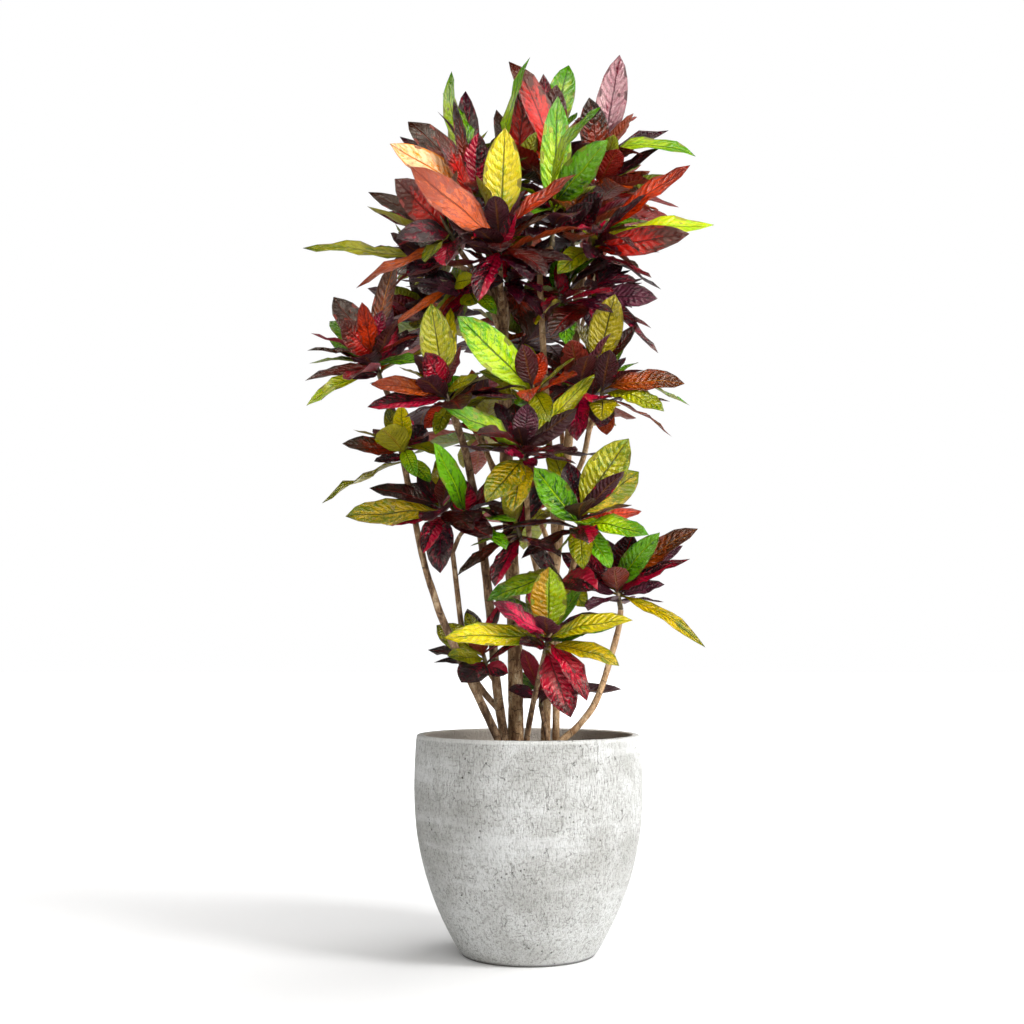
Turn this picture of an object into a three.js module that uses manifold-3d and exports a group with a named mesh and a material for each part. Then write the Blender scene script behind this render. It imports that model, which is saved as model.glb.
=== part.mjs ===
// A croton grown as a bush of leafy shoots on bare canes, standing in the soil of a round stone pot.
// Millimetres, +Z up, the origin at the centre of the pot's base, and the front of the plant towards -Y.
import * as THREE from "three";
import { mergeVertices } from "three/addons/utils/BufferGeometryUtils.js";
import Module from "manifold-3d";

// The pot, a tapered bowl with an upright rim
const POT_HEIGHT = 381;
const POT_BASE_RADIUS = 119;
const POT_BELLY_RADIUS = 203.5;
const POT_BELLY_HEIGHT = 290;
const POT_RIM_RADIUS = 200;
const POT_WALL = 15;
const POT_FLOOR = 22;
const POT_TAPER_POWER = 2.15;
const POT_EDGE_ROUND = 3;
const POT_SIDES = 36;
const POT_STEPS = 7;
const WALL_STEPS = 3;

// The soil and the holes that the canes stand in
const SOIL_TOP = 341;
const SOIL_CROWN = 6;
const SOIL_CROWN_RADIUS = 105;
const CANE_FOOT_DEPTH = 90;
const GAP = 0.3;

// Canes and shoots
const CANE_SIDES = 6;
const TWIG_SIDES = 5;
const TWIG_RADIUS = 6;
const SHOOT_SIDES = 4;
const SHOOT_RADIUS = 4.5;
const TUBE_START = [1, 0.2, 0];
const BUD_LENGTH = 24;
const FOOT_SHARE = 0.14;

// A leaf: a stalk, then a pointed oval blade that folds along its midrib, arches and ripples
const STALK_SHARE = 0.1;
const STALK_HALF_WIDTH = 2;
const OUTLINE_BASE_POWER = 0.75;
const OUTLINE_TIP_POWER = 0.85;
const MIDRIB_THICKNESS = 1.3;
const STALK_EXTRA_THICKNESS = 1.7;
const KEEL_SHARE = 0.1;
const RIPPLE_SHARE = 0.022;
const LEAF_STATIONS = [0.34, 0.66];
const OUTSIDE_SHOOT = 0.06;
const NEAR_TIP = 0.95;
const LEAST_ARCH = 1;

// What chance gives each leaf: its twist in degrees, the height of its waves and how many of them
const TWIST = [-14, 14];
const RIPPLE_CHANCE = [0.5, 1.3];
const WAVES = [1.2, 2.1];

// The free space that a new leaf keeps from what has already grown
const LEAF_CLEARANCE = 2.6;
const CANE_CLEARANCE = 3;
const SPACE_SIDES = 8;
const RIM_CLEARANCE = 10;

// The rule for the leaves that are not placed one by one, from the foot of a shoot to its tip
const TURN_BETWEEN_LEAVES = 137.5;
const SPREAD_FROM_SHOOT = [98, 30];
const RULE_LENGTH = [178, 95];
const RULE_ARCH = [52, 14];
const RULE_WIDTH_SHARE = 0.35;
const TURN_BETWEEN_SHOOTS = 67;
const TURN_CHANCE = [-14, 14];
const SPREAD_CHANCE = [-9, 9];
const LENGTH_CHANCE = [0.82, 1.1];
const ARCH_CHANCE = [0.6, 1.3];
const WIDTH_CHANCE = [0.85, 1.15];

// What a leaf gives way by when its place is taken: a placed one shifts back and forth and rolls, and one by
// the rule swings round the shoot and leans. Both grow a little smaller at each try.
const PLACED_TRIES = 44;
const TRY_SHIFT = 6;
const TRY_ROLL = 8;
const PLACED_SHRINK = 0.008;
const [ROLL_STRIDE, ROLL_PLACES] = [7, 5];
const RULE_TRIES = 26;
const TRY_SWING = 12;
const TRY_LEAN = 4;
const RULE_SHRINK = 0.018;
const [SWING_STRIDE, SWING_PLACES] = [5, 13];
const [LEAN_STRIDE, LEAN_PLACES] = [5, 7];

// The draws
const SEED_SPREAD = 2654435761;
const DRAW_FACTOR = 1664525;
const DRAW_STEP = 1013904223;
const DRAW_RANGE = 4294967296;
const RULE_SEED = 1000;
const RULE_SEED_STEP = 50;
const SAME_POINT = 1e-4;

// The way that the upper side of a placed leaf looks
const FACINGS = {
  front: [0, -1, 0.25],
  high: [0, -0.75, 0.7],
  up: [0, -0.15, 1],
  left: [-1, -0.45, 0.2],
  edge: [0.5, -0.35, 0.6],
  under: [0, 0.75, -0.7],
};

// Colours and roughness
const POT_COLOUR = 0xd8d6d2;
const POT_ROUGHNESS = 0.9;
const SOIL_COLOUR = 0x3d2f24;
const SOIL_ROUGHNESS = 0.95;
const CANE_ROUGHNESS = 0.75;
const BACK_LEAF_COLOUR = "plum";
const LEAF_COLOURS = {
  lime: 0x9fbe16,
  pale: 0xc9cf4a,
  limegold: 0xb5b81a,
  gold: 0xcda91f,
  goldgreen: 0x93971b,
  olive: 0x6f7a1c,
  stripe: 0xa79c45,
  green: 0x3d7019,
  peach: 0xe5bd8a,
  orange: 0xc8602a,
  coral: 0xce4b35,
  rust: 0x8a4a24,
  brown: 0x55291f,
  red: 0xb03329,
  crimson: 0xa01d34,
  pink: 0xc94562,
  wine: 0x5d1626,
  maroon: 0x4d1c22,
  plum: 0x241519,
  mauve: 0x6d5a63,
};
const LEAF_ROUGHNESS = 0.35;
const CANE_COLOURS = {
  cane_left: 0x6b5a48,
  cane_twin: 0x54402f,
  trunk: 0x7d664e,
  cane_low: 0x7a5a3c,
  cane_stub: 0x6a4a33,
  cane_second: 0x9c7f60,
  cane_mid: 0xa58a6a,
  cane_right: 0x9a835f,
};

// Each cane: its branches, with the shoot that each carries, its radii from foot to end, and its route
const CANES = {
  cane_left: [
    ["left_high", 8, 5, [
      [-40, -66, 340], [-54, -62, 379], [-141, -60, 562], [-166, -60, 627], [-190, -60, 710],
      [-239, -64, 948], [-262, -70, 1009],
    ]],
    ["left_side", 4.5, 4, [
      [-217, -60, 839], [-209, -75, 859],
    ]],
  ],
  cane_twin: [
    ["left_inner", 9, 6.5, [
      [-37, -29, 337], [-55, -26, 460], [-70, -18, 620], [-88, -22, 764], [-101, -34, 830],
      [-112, -60, 886], [-134, -99, 951],
    ]],
    ["left_mid", 6, 4.5, [
      [-48, -27, 421], [-90, -10, 470], [-110, -5, 522], [-121, -5, 581], [-137, -22, 713],
      [-147, -70, 756],
    ]],
    ["left_twig", 4, 3.5, [
      [-135, -20, 706], [-123, -40, 732], [-113, -60, 741],
    ]],
    ["low_left", 4, 3.5, [
      [-57, -25, 470], [-72, -40, 494],
    ]],
  ],
  trunk: [
    ["trunk_head", 16, 9, [
      [-22, 0, 335], [-25, 0, 584], [-42, 10, 933], [-46, -5, 1154], [-41, -28, 1184],
    ]],
    ["crown_front", 7, 5, [
      [-46, -4, 1139], [-49, -35, 1174], [-49, -88, 1208],
    ]],
    ["crown_far_left", 7, 4.5, [
      [-46, 0, 1118], [-69, -12, 1177], [-124, -68, 1251],
    ]],
    ["crown_reach", 4.5, 4, [
      [-94, -36, 1214], [-126, -52, 1224], [-155, -54, 1231],
    ]],
    ["crown_upper_left", 7, 5, [
      [-44, 0, 1127], [-61, 10, 1215], [-81, 12, 1292],
    ]],
    ["under_left", 4.5, 4, [
      [-46, 2, 1090], [-65, -18, 1147], [-87, -38, 1176],
    ]],
    ["crown_back_left", 7, 5, [
      [-44, 4, 1090], [-67, 55, 1198], [-102, 118, 1320],
    ]],
    ["crown_centre", 7, 5, [
      [-44, 2, 1109], [-31, 36, 1203], [-14, 58, 1300],
    ]],
    ["crown_top", 6, 4.5, [
      [-29, 40, 1213], [31, 52, 1366],
    ]],
    ["back_middle", 6, 5, [
      [-40, 10, 914], [-34, 80, 1011], [-17, 148, 1107],
    ]],
    ["back_low_left", 6, 5, [
      [-36, 8, 785], [-86, 136, 928],
    ]],
    ["back_left", 5, 4, [
      [-64, 88, 873], [-131, 125, 1010], [-183, 122, 1141],
    ]],
  ],
  cane_low: [
    ["low_front", 6, 4.5, [
      [-4, -42, 338], [-2, -46, 378], [10, -65, 444], [29, -113, 525],
    ]],
  ],
  cane_stub: [
    ["low_back", 5, 4, [
      [37, -22, 337], [33, -20, 377], [23, -3, 429],
    ]],
  ],
  cane_second: [
    ["crown_far_right", 9, 7, [
      [30, 30, 333], [42, 25, 585], [82, 15, 989], [91, 5, 1169], [100, -4, 1220], [107, -18, 1246],
    ]],
    ["crown_core", 6, 5, [
      [91, 6, 1156], [83, -20, 1255],
    ]],
    ["crown_right", 5, 4.5, [
      [97, 0, 1200], [115, 34, 1278], [122, 42, 1343],
    ]],
    ["crown_back_right", 6, 5, [
      [89, 8, 1129], [107, 70, 1240], [135, 122, 1350],
    ]],
    ["crown_mid", 6.5, 5, [
      [51, 22, 694], [45, -12, 801], [35, -42, 952], [22, -50, 1213], [33, -50, 1246],
      [44, -50, 1259],
    ]],
    ["centre", 5.5, 4.5, [
      [42, 25, 600], [25, -20, 647], [12, -45, 686], [2, -62, 733], [-5, -124, 848],
    ]],
    ["centre_small", 4, 3.5, [
      [4, -60, 725], [-11, -62, 724],
    ]],
    ["bright", 4, 3.5, [
      [35, -42, 946], [25, -70, 960], [18, -94, 964],
    ]],
    ["right_high", 5.5, 4.5, [
      [64, 20, 810], [98, -15, 870], [112, -40, 930], [129, -60, 959],
    ]],
    ["right_inner", 4, 3.5, [
      [110, -38, 923], [97, -50, 972],
    ]],
    ["under_mid", 4, 3.5, [
      [83, 13, 1017], [73, -22, 1084], [64, -39, 1149],
    ]],
    ["under_right", 4, 3.5, [
      [89, 10, 1091], [107, -25, 1147],
    ]],
    ["striped", 4.5, 4, [
      [81, 15, 974], [116, -38, 1003],
    ]],
    ["back_right", 5.5, 4.5, [
      [70, 19, 851], [64, 133, 960],
    ]],
    ["back_low", 5.5, 4.5, [
      [49, 23, 676], [36, 75, 735], [25, 124, 770],
    ]],
  ],
  cane_mid: [
    ["right_mid", 7, 5, [
      [49, -10, 336], [52, -20, 539], [59, -30, 598], [85, -62, 698], [93, -78, 730],
    ]],
    ["mid_twig", 3.5, 3, [
      [69, -43, 638], [62, -60, 647],
    ]],
  ],
  cane_right: [
    ["right_low", 6.5, 5, [
      [34, -64, 343], [89, -57, 400], [123, -53, 450], [157, -50, 557], [164, -50, 601],
    ]],
  ],
};

const SHOOTS = {
  crown_far_left: [[-146, -88, 1287], 10],
  crown_reach: [[-188, -60, 1237], 4],
  crown_upper_left: [[-115, 4, 1431], 10],
  crown_front: [[-51, -102, 1279], 9],
  crown_back_left: [[-117, 130, 1388], 14],
  crown_centre: [[-26, 52, 1460], 12],
  crown_top: [[45, 50, 1506], 12],
  crown_mid: [[48, -58, 1359], 7],
  crown_core: [[84, -25, 1314], 7],
  crown_right: [[145, 40, 1482], 11],
  crown_back_right: [[150, 135, 1425], 14],
  crown_far_right: [[136, -38, 1294], 7],
  under_left: [[-137, -52, 1191], 5],
  trunk_head: [[-32, -42, 1215], 9],
  under_mid: [[55, -50, 1176], 5],
  under_right: [[117, -40, 1189], 5],
  striped: [[126, -52, 1050], 5],
  left_high: [[-280, -90, 1068], 11],
  left_inner: [[-149, -112, 992], 10],
  left_side: [[-223, -82, 893], 5],
  left_mid: [[-155, -82, 790], 8],
  left_twig: [[-110, -68, 774], 5],
  centre: [[-8, -138, 886], 9],
  centre_small: [[-21, -70, 749], 5],
  bright: [[7, -110, 992], 4],
  right_high: [[134, -72, 999], 8],
  right_inner: [[90, -58, 1015], 8],
  right_mid: [[86, -95, 780], 10],
  right_low: [[154, -60, 657], 9],
  low_front: [[36, -130, 561], 8],
  low_left: [[-80, -52, 528], 5],
  low_back: [[23, 5, 459], 4],
  mid_twig: [[49, -72, 667], 3],
  back_left: [[-202, 135, 1199], 13],
  back_middle: [[-11, 165, 1166], 13],
  back_right: [[72, 150, 1014], 12],
  back_low_left: [[-101, 155, 980], 12],
  back_low: [[19, 142, 818], 12],
};
const LEAVES = [
  ["low_front", "gold", 0.55, [-140, -200, 550], "high", 30, 50],
  ["low_front", "crimson", 0.1, [70, -205, 420], "front", 18, 56],
  ["low_front", "limegold", 0.8, [35, -175, 670], "front", 16, 60],
  ["low_front", "gold", 0.6, [175, -180, 580], "high", 45, 46],
  ["low_front", "pink", 0.75, [-60, -185, 610], "high", 22, 46],
  ["low_front", "crimson", 0.3, [-25, -150, 560], "front", 20, 22],
  ["low_front", "plum", 0.2, [-15, -165, 540], "high", 30, 40],
  ["low_front", "green", 0.4, [110, -70, 570], "high", 30, 34],
  ["mid_twig", "lime", 0.6, [-70, -120, 615], "high", 38, 48],
  ["mid_twig", "olive", 0.3, [100, -85, 605], "high", 45, 44],
  ["mid_twig", "plum", 0.8, [0, -95, 710], "high", 20, 44],
  ["right_mid", "olive", 0.8, [175, -130, 895], "front", 14, 68],
  ["right_mid", "goldgreen", 0.6, [200, -30, 850], "front", 20, 60],
  ["right_mid", "wine", 0.7, [165, -135, 835], "edge", 12, 36],
  ["right_mid", "lime", 0.3, [205, -160, 725], "high", 38, 44],
  ["right_mid", "plum", 0.5, [180, -105, 780], "up", 25, 40],
  ["right_mid", "green", 0.25, [10, -165, 840], "front", 14, 54],
  ["right_mid", "plum", 0.85, [70, -105, 860], "front", 16, 44],
  ["right_mid", "olive", 0.6, [35, -60, 900], "front", 25, 46],
  ["right_mid", "maroon", 0.55, [60, -150, 780], "front", 20, 38],
  ["right_mid", "lime", 0.15, [50, -140, 690], "left", 30, 16],
  ["right_mid", "crimson", 0.1, [130, -100, 660], "front", 25, 36],
  ["right_mid", "coral", 0.4, [205, -20, 780], "high", 20, 40],
  ["right_low", "rust", 0.9, [295, -110, 740], "high", 28, 52],
  ["right_low", "mauve", 0.8, [275, -50, 715], "high", 18, 40],
  ["right_low", "crimson", 0.6, [285, -85, 690], "high", 18, 32],
  ["right_low", "wine", 0.5, [250, -120, 680], "high", 22, 36],
  ["right_low", "green", 0.7, [225, -150, 730], "front", 60, 42],
  ["right_low", "maroon", 0.85, [180, -115, 730], "front", 14, 52],
  ["right_low", "plum", 0.7, [140, -60, 725], "front", 20, 40],
  ["right_low", "goldgreen", 0.4, [305, -110, 535], "high", 42, 26],
  ["right_low", "mauve", 0.3, [240, -110, 645], "high", 40, 44],
  ["right_low", "plum", 0.2, [240, -50, 615], "up", 25, 20],
  ["right_low", "plum", 0.55, [60, -30, 705], "high", 20, 50],
  ["right_low", "mauve", 0.4, [75, -75, 650], "high", 15, 36],
  ["right_high", "rust", 0.8, [275, -110, 995], "high", 48, 52],
  ["right_high", "olive", 0.6, [235, -150, 940], "high", 55, 48],
  ["right_high", "rust", 0.4, [250, -120, 900], "up", 38, 30],
  ["right_high", "lime", 0.9, [170, -100, 1060], "left", 14, 26],
  ["right_high", "green", 0.85, [205, 20, 1060], "up", 40, 30],
  ["right_high", "plum", 0.2, [125, -130, 915], "front", 40, 48],
  ["right_high", "orange", 0.1, [140, -20, 910], "front", 40, 44],
  ["right_inner", "plum", 0.3, [60, -40, 925], "front", 30, 44],
  ["right_inner", "pink", 0.4, [75, -75, 935], "front", 30, 36],
  ["right_inner", "maroon", 0.7, [115, -50, 1055], "front", 14, 38],
  ["striped", "stripe", 0.7, [155, -95, 1160], "front", 14, 58],
  ["striped", "maroon", 0.4, [195, -90, 1105], "high", 16, 40],
  ["striped", "mauve", 0.6, [180, -20, 1090], "high", 25, 34],
  ["striped", "gold", 0.2, [140, -85, 1085], "front", 20, 36],
  ["striped", "maroon", 0.3, [115, -90, 980], "front", 40, 32],
  ["under_right", "mauve", 0.6, [230, -100, 1150], "front", 15, 48],
  ["under_right", "plum", 0.8, [195, -90, 1185], "high", 60, 34],
  ["under_right", "maroon", 0.3, [200, -50, 1120], "high", 20, 34],
  ["under_right", "plum", 0.5, [130, -90, 1095], "front", 40, 44],
  ["crown_far_right", "coral", 0.75, [290, -110, 1390], "high", 20, 50],
  ["crown_far_right", "pale", 0.6, [335, -80, 1290], "high", 22, 48],
  ["crown_far_right", "red", 0.2, [285, -120, 1260], "front", 14, 50],
  ["crown_far_right", "maroon", 0.4, [195, -150, 1220], "up", 62, 34],
  ["crown_far_right", "green", 0.85, [230, -20, 1320], "high", 75, 48],
  ["crown_far_right", "plum", 0.5, [210, -50, 1335], "high", 25, 38],
  ["crown_far_right", "gold", 0.3, [205, -40, 1295], "high", 30, 40],
  ["crown_right", "mauve", 0.8, [175, 25, 1655], "front", 20, 56],
  ["crown_right", "rust", 0.5, [165, 55, 1630], "edge", -28, 30],
  ["crown_right", "brown", 0.6, [115, -15, 1555], "front", 14, 54],
  ["crown_right", "lime", 0.75, [310, -30, 1435], "high", 80, 50],
  ["crown_right", "plum", 0.6, [270, 60, 1520], "high", 50, 40],
  ["crown_right", "plum", 0.35, [245, -50, 1455], "high", 16, 50],
  ["crown_right", "brown", 0.3, [215, 40, 1395], "high", 30, 40],
  ["crown_top", "brown", 0.5, [-35, -5, 1630], "high", 85, 56],
  ["crown_top", "red", 0.6, [55, -10, 1585], "front", 30, 56],
  ["crown_top", "lime", 0.8, [80, 70, 1655], "front", 50, 52],
  ["crown_top", "crimson", 0.7, [30, 30, 1610], "front", 20, 40],
  ["crown_top", "coral", 0.4, [10, 50, 1570], "front", 20, 40],
  ["crown_centre", "red", 0.7, [0, 10, 1610], "front", 18, 58],
  ["crown_centre", "lime", 0.8, [5, -25, 1600], "left", 62, 30],
  ["crown_centre", "brown", 0.5, [-60, 30, 1570], "front", 20, 50],
  ["crown_centre", "plum", 0.6, [-55, 100, 1580], "front", 20, 44],
  ["crown_mid", "green", 0.4, [55, -95, 1525], "front", 12, 54],
  ["crown_mid", "green", 0.7, [140, -125, 1415], "front", 30, 70],
  ["crown_mid", "lime", 0.9, [130, -75, 1475], "high", 80, 44],
  ["crown_mid", "plum", 0.1, [115, -115, 1320], "front", 14, 42],
  ["crown_mid", "rust", 0.8, [35, -90, 1375], "front", 20, 34],
  ["crown_core", "rust", 0.7, [95, -60, 1435], "front", 20, 44],
  ["crown_core", "plum", 0.5, [135, -95, 1350], "front", 20, 44],
  ["crown_front", "orange", 0.6, [-205, -165, 1370], "front", 12, 62],
  ["crown_front", "gold", 0.8, [-40, -150, 1445], "front", -14, 66],
  ["crown_front", "coral", 0.85, [85, -150, 1360], "high", 22, 46],
  ["crown_front", "rust", 0.5, [40, -165, 1285], "high", 20, 30],
  ["crown_front", "maroon", 0.1, [-145, -135, 1300], "under", 30, 40],
  ["crown_front", "maroon", 0.2, [80, -150, 1205], "high", 28, 42],
  ["crown_front", "wine", 0.3, [-60, -190, 1220], "front", 20, 34],
  ["crown_front", "wine", 0.4, [-20, -170, 1285], "front", 14, 30],
  ["crown_upper_left", "peach", 0.55, [-250, -75, 1445], "front", 16, 58],
  ["crown_upper_left", "brown", 0.8, [-225, 10, 1520], "front", 35, 56],
  ["crown_upper_left", "plum", 0.6, [-245, 60, 1510], "high", 25, 50],
  ["crown_upper_left", "lime", 0.9, [-145, 20, 1630], "left", 42, 38],
  ["crown_upper_left", "green", 0.85, [-165, 50, 1600], "up", 65, 34],
  ["crown_upper_left", "plum", 0.75, [-120, 60, 1610], "front", 20, 46],
  ["crown_upper_left", "wine", 0.5, [-90, -50, 1475], "front", 14, 48],
  ["crown_upper_left", "plum", 0.7, [-165, -20, 1515], "up", 55, 30],
  ["crown_upper_left", "red", 0.4, [-170, -25, 1480], "front", 20, 34],
  ["crown_upper_left", "red", 0.6, [-105, -70, 1470], "edge", 10, 26],
  ["crown_upper_left", "brown", 0.65, [-135, 15, 1530], "front", 25, 28],
  ["crown_far_left", "red", 0.7, [-235, -130, 1360], "front", 14, 62],
  ["crown_far_left", "brown", 0.5, [-290, -60, 1360], "high", 20, 46],
  ["crown_far_left", "olive", 0.6, [-285, -110, 1315], "up", -12, 30],
  ["crown_far_left", "crimson", 0.4, [-280, -20, 1335], "high", 15, 38],
  ["crown_far_left", "plum", 0.45, [-230, -150, 1245], "front", 80, 46],
  ["crown_far_left", "orange", 0.2, [-300, -140, 1160], "high", 26, 28],
  ["crown_far_left", "lime", 0.75, [-180, -150, 1180], "left", 22, 28],
  ["crown_reach", "olive", 0.6, [-405, -80, 1250], "high", 20, 42],
  ["crown_reach", "rust", 0.8, [-285, -20, 1270], "high", 15, 28],
  ["crown_reach", "plum", 0.3, [-210, -120, 1185], "front", 25, 46],
  ["under_left", "mauve", 0.5, [-160, -100, 1165], "front", 20, 38],
  ["under_left", "orange", 0.8, [-235, -110, 1100], "high", 22, 24],
  ["under_left", "maroon", 0.7, [-235, -30, 1205], "up", 10, 24],
  ["under_left", "plum", 0.6, [-220, -80, 1180], "up", 12, 16],
  ["under_left", "lime", 0.2, [-55, -110, 1120], "high", 30, 28],
  ["under_left", "olive", 0.3, [-90, -100, 1140], "front", 30, 50],
  ["trunk_head", "crimson", 0.7, [-70, -110, 1230], "front", 20, 46],
  ["trunk_head", "maroon", 0.5, [60, -80, 1230], "high", 20, 34],
  ["trunk_head", "plum", 0.3, [-15, -90, 1120], "front", 40, 46],
  ["trunk_head", "green", 0.2, [-45, -100, 1095], "high", 50, 44],
  ["under_mid", "green", 0.7, [5, -90, 1165], "up", 60, 36],
  ["under_mid", "gold", 0.4, [15, -90, 1100], "left", 40, 40],
  ["under_mid", "green", 0.3, [70, -100, 1065], "high", 50, 40],
  ["under_mid", "crimson", 0.8, [70, -90, 1195], "front", 10, 28],
  ["left_high", "brown", 0.8, [-345, -100, 1155], "high", 20, 58],
  ["left_high", "lime", 0.6, [-360, -60, 1125], "front", 45, 46],
  ["left_high", "red", 0.65, [-325, -145, 1100], "front", 18, 52],
  ["left_high", "coral", 0.7, [-280, -140, 1115], "front", 16, 42],
  ["left_high", "pink", 0.75, [-255, -130, 1125], "front", 12, 34],
  ["left_high", "mauve", 0.85, [-245, -115, 1150], "front", 12, 36],
  ["left_high", "rust", 0.9, [-235, -70, 1225], "front", 10, 40],
  ["left_high", "olive", 0.95, [-270, -40, 1220], "left", 16, 28],
  ["left_high", "orange", 0.7, [-305, -60, 1165], "high", 30, 28],
  ["left_high", "crimson", 0.5, [-235, -50, 1115], "front", 16, 30],
  ["left_high", "plum", 0.4, [-200, -30, 1105], "high", 20, 34],
  ["left_high", "maroon", 0.3, [-390, -120, 1000], "high", 34, 34],
  ["left_high", "pale", 0.2, [-400, -40, 970], "high", 42, 34],
  ["left_high", "green", 0.45, [-180, -140, 1030], "high", 20, 44],
  ["left_high", "plum", 0.1, [-305, -130, 1000], "high", 25, 28],
  ["left_high", "green", 0.5, [-360, -40, 1090], "high", 20, 30],
  ["left_inner", "olive", 0.8, [-170, -130, 1135], "front", 12, 58],
  ["left_inner", "gold", 0.85, [-140, -90, 1150], "front", 20, 34],
  ["left_inner", "orange", 0.6, [-270, -160, 985], "high", 26, 50],
  ["left_inner", "crimson", 0.7, [-175, -190, 1035], "front", 25, 46],
  ["left_inner", "crimson", 0.9, [-115, -150, 1055], "edge", 15, 24],
  ["left_inner", "wine", 0.4, [-275, -165, 945], "high", 20, 48],
  ["left_inner", "plum", 0.5, [-280, -90, 1000], "high", 20, 34],
  ["left_inner", "plum", 0.2, [-210, -175, 925], "up", 20, 24],
  ["left_inner", "coral", 0.15, [-180, -120, 915], "front", 30, 34],
  ["left_inner", "olive", 0.1, [-155, -160, 890], "front", 20, 34],
  ["left_inner", "green", 0.6, [-120, -150, 1010], "front", 40, 34],
  ["left_inner", "olive", 0.7, [-85, -130, 995], "front", 20, 28],
  ["left_side", "brown", 0.6, [-325, -110, 890], "high", 20, 54],
  ["left_side", "plum", 0.3, [-270, -100, 860], "high", 16, 32],
  ["left_side", "olive", 0.8, [-250, -70, 960], "front", 16, 38],
  ["left_side", "gold", 0.7, [-220, -110, 955], "front", 14, 36],
  ["left_side", "plum", 0.5, [-185, -80, 930], "front", 14, 52],
  ["left_side", "lime", 0.2, [-170, -120, 820], "high", 30, 34],
  ["left_mid", "goldgreen", 0.5, [-315, -130, 760], "high", 18, 60],
  ["left_mid", "maroon", 0.7, [-280, -40, 815], "high", 35, 46],
  ["left_mid", "wine", 0.3, [-245, -150, 745], "high", 14, 30],
  ["left_mid", "wine", 0.2, [-180, -140, 695], "high", 70, 34],
  ["left_mid", "plum", 0.8, [-195, -90, 835], "high", 16, 40],
  ["left_twig", "crimson", 0.5, [-115, -105, 830], "front", 14, 44],
  ["left_twig", "green", 0.8, [-155, -160, 870], "front", 20, 56],
  ["left_twig", "green", 0.4, [-135, -60, 820], "front", 40, 36],
  ["centre", "lime", 0.7, [-145, -205, 940], "high", 25, 60],
  ["centre", "maroon", 0.6, [-85, -230, 885], "high", 52, 46],
  ["centre", "plum", 0.3, [-125, -215, 870], "up", 16, 36],
  ["centre", "pink", 0.4, [-40, -205, 860], "front", 20, 26],
  ["centre", "mauve", 0.85, [0, -170, 950], "front", 20, 44],
  ["centre", "plum", 0.7, [85, -150, 945], "under", 16, 44],
  ["centre", "olive", 0.8, [120, -150, 1015], "edge", -18, 38],
  ["centre", "goldgreen", 0.2, [-70, -215, 775], "front", 40, 54],
  ["centre", "goldgreen", 0.1, [-25, -215, 760], "front", 36, 56],
  ["centre", "pink", 0.15, [15, -165, 840], "front", 20, 24],
  ["centre_small", "green", 0.6, [-100, -110, 710], "up", 20, 30],
  ["centre_small", "plum", 0.4, [-85, -60, 725], "up", 14, 34],
  ["centre_small", "plum", 0.2, [55, -100, 685], "high", 20, 56],
  ["centre_small", "plum", 0.85, [30, -90, 830], "front", 12, 38],
  ["centre_small", "olive", 0.6, [45, -40, 790], "front", 20, 44],
  ["bright", "lime", 0.6, [-120, -200, 1095], "front", 16, 64],
  ["bright", "coral", 0.9, [25, -100, 1055], "front", 14, 36],
  ["bright", "olive", 0.4, [-85, -125, 1015], "high", 30, 40],
  ["low_left", "olive", 0.7, [-165, 20, 575], "high", 25, 54],
  ["low_left", "olive", 0.5, [-140, -80, 520], "high", 30, 40],
  ["low_left", "plum", 0.4, [-115, -90, 475], "high", 25, 54],
  ["low_left", "wine", 0.2, [-35, -75, 490], "front", 25, 30],
  ["low_left", "maroon", 0.9, [-110, 25, 605], "high", 20, 34],
  ["low_back", "plum", 0.5, [-35, -50, 460], "high", 30, 38],
  ["low_back", "green", 0.8, [-10, 45, 490], "high", 30, 34],
];
const wasm = await Module();
wasm.setup();

const vector = (p) => new THREE.Vector3(...p);
const radians = THREE.MathUtils.degToRad;
const mix = THREE.MathUtils.lerp;

// The same draws every time for the same seed, each from 0 to 1
function seeded(seed) {
  let state = Math.imul(seed + 1, SEED_SPREAD) >>> 0;
  const draw = () => {
    state = (Math.imul(state, DRAW_FACTOR) + DRAW_STEP) >>> 0;
    return state / DRAW_RANGE;
  };
  draw();
  draw();
  return draw;
}

// Closed meshes as solids, and back

function solid(geometry) {
  const bare = geometry.clone();
  bare.deleteAttribute("normal");
  bare.deleteAttribute("uv");
  const merged = mergeVertices(bare, SAME_POINT);
  return new wasm.Manifold(
    new wasm.Mesh({
      numProp: 3,
      vertProperties: merged.attributes.position.array,
      triVerts: new Uint32Array(merged.index.array),
    }),
  );
}

function geometryOf(body) {
  const mesh = body.getMesh();
  const geometry = new THREE.BufferGeometry();
  geometry.setAttribute("position", new THREE.BufferAttribute(mesh.vertProperties, 3));
  geometry.setIndex(new THREE.BufferAttribute(mesh.triVerts, 1));
  geometry.computeVertexNormals();
  return geometry;
}

function meshGeometry(points, triangles) {
  const geometry = new THREE.BufferGeometry();
  geometry.setAttribute("position", new THREE.Float32BufferAttribute(points.flat(), 3));
  geometry.setIndex(triangles.flat());
  return geometry;
}

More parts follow.
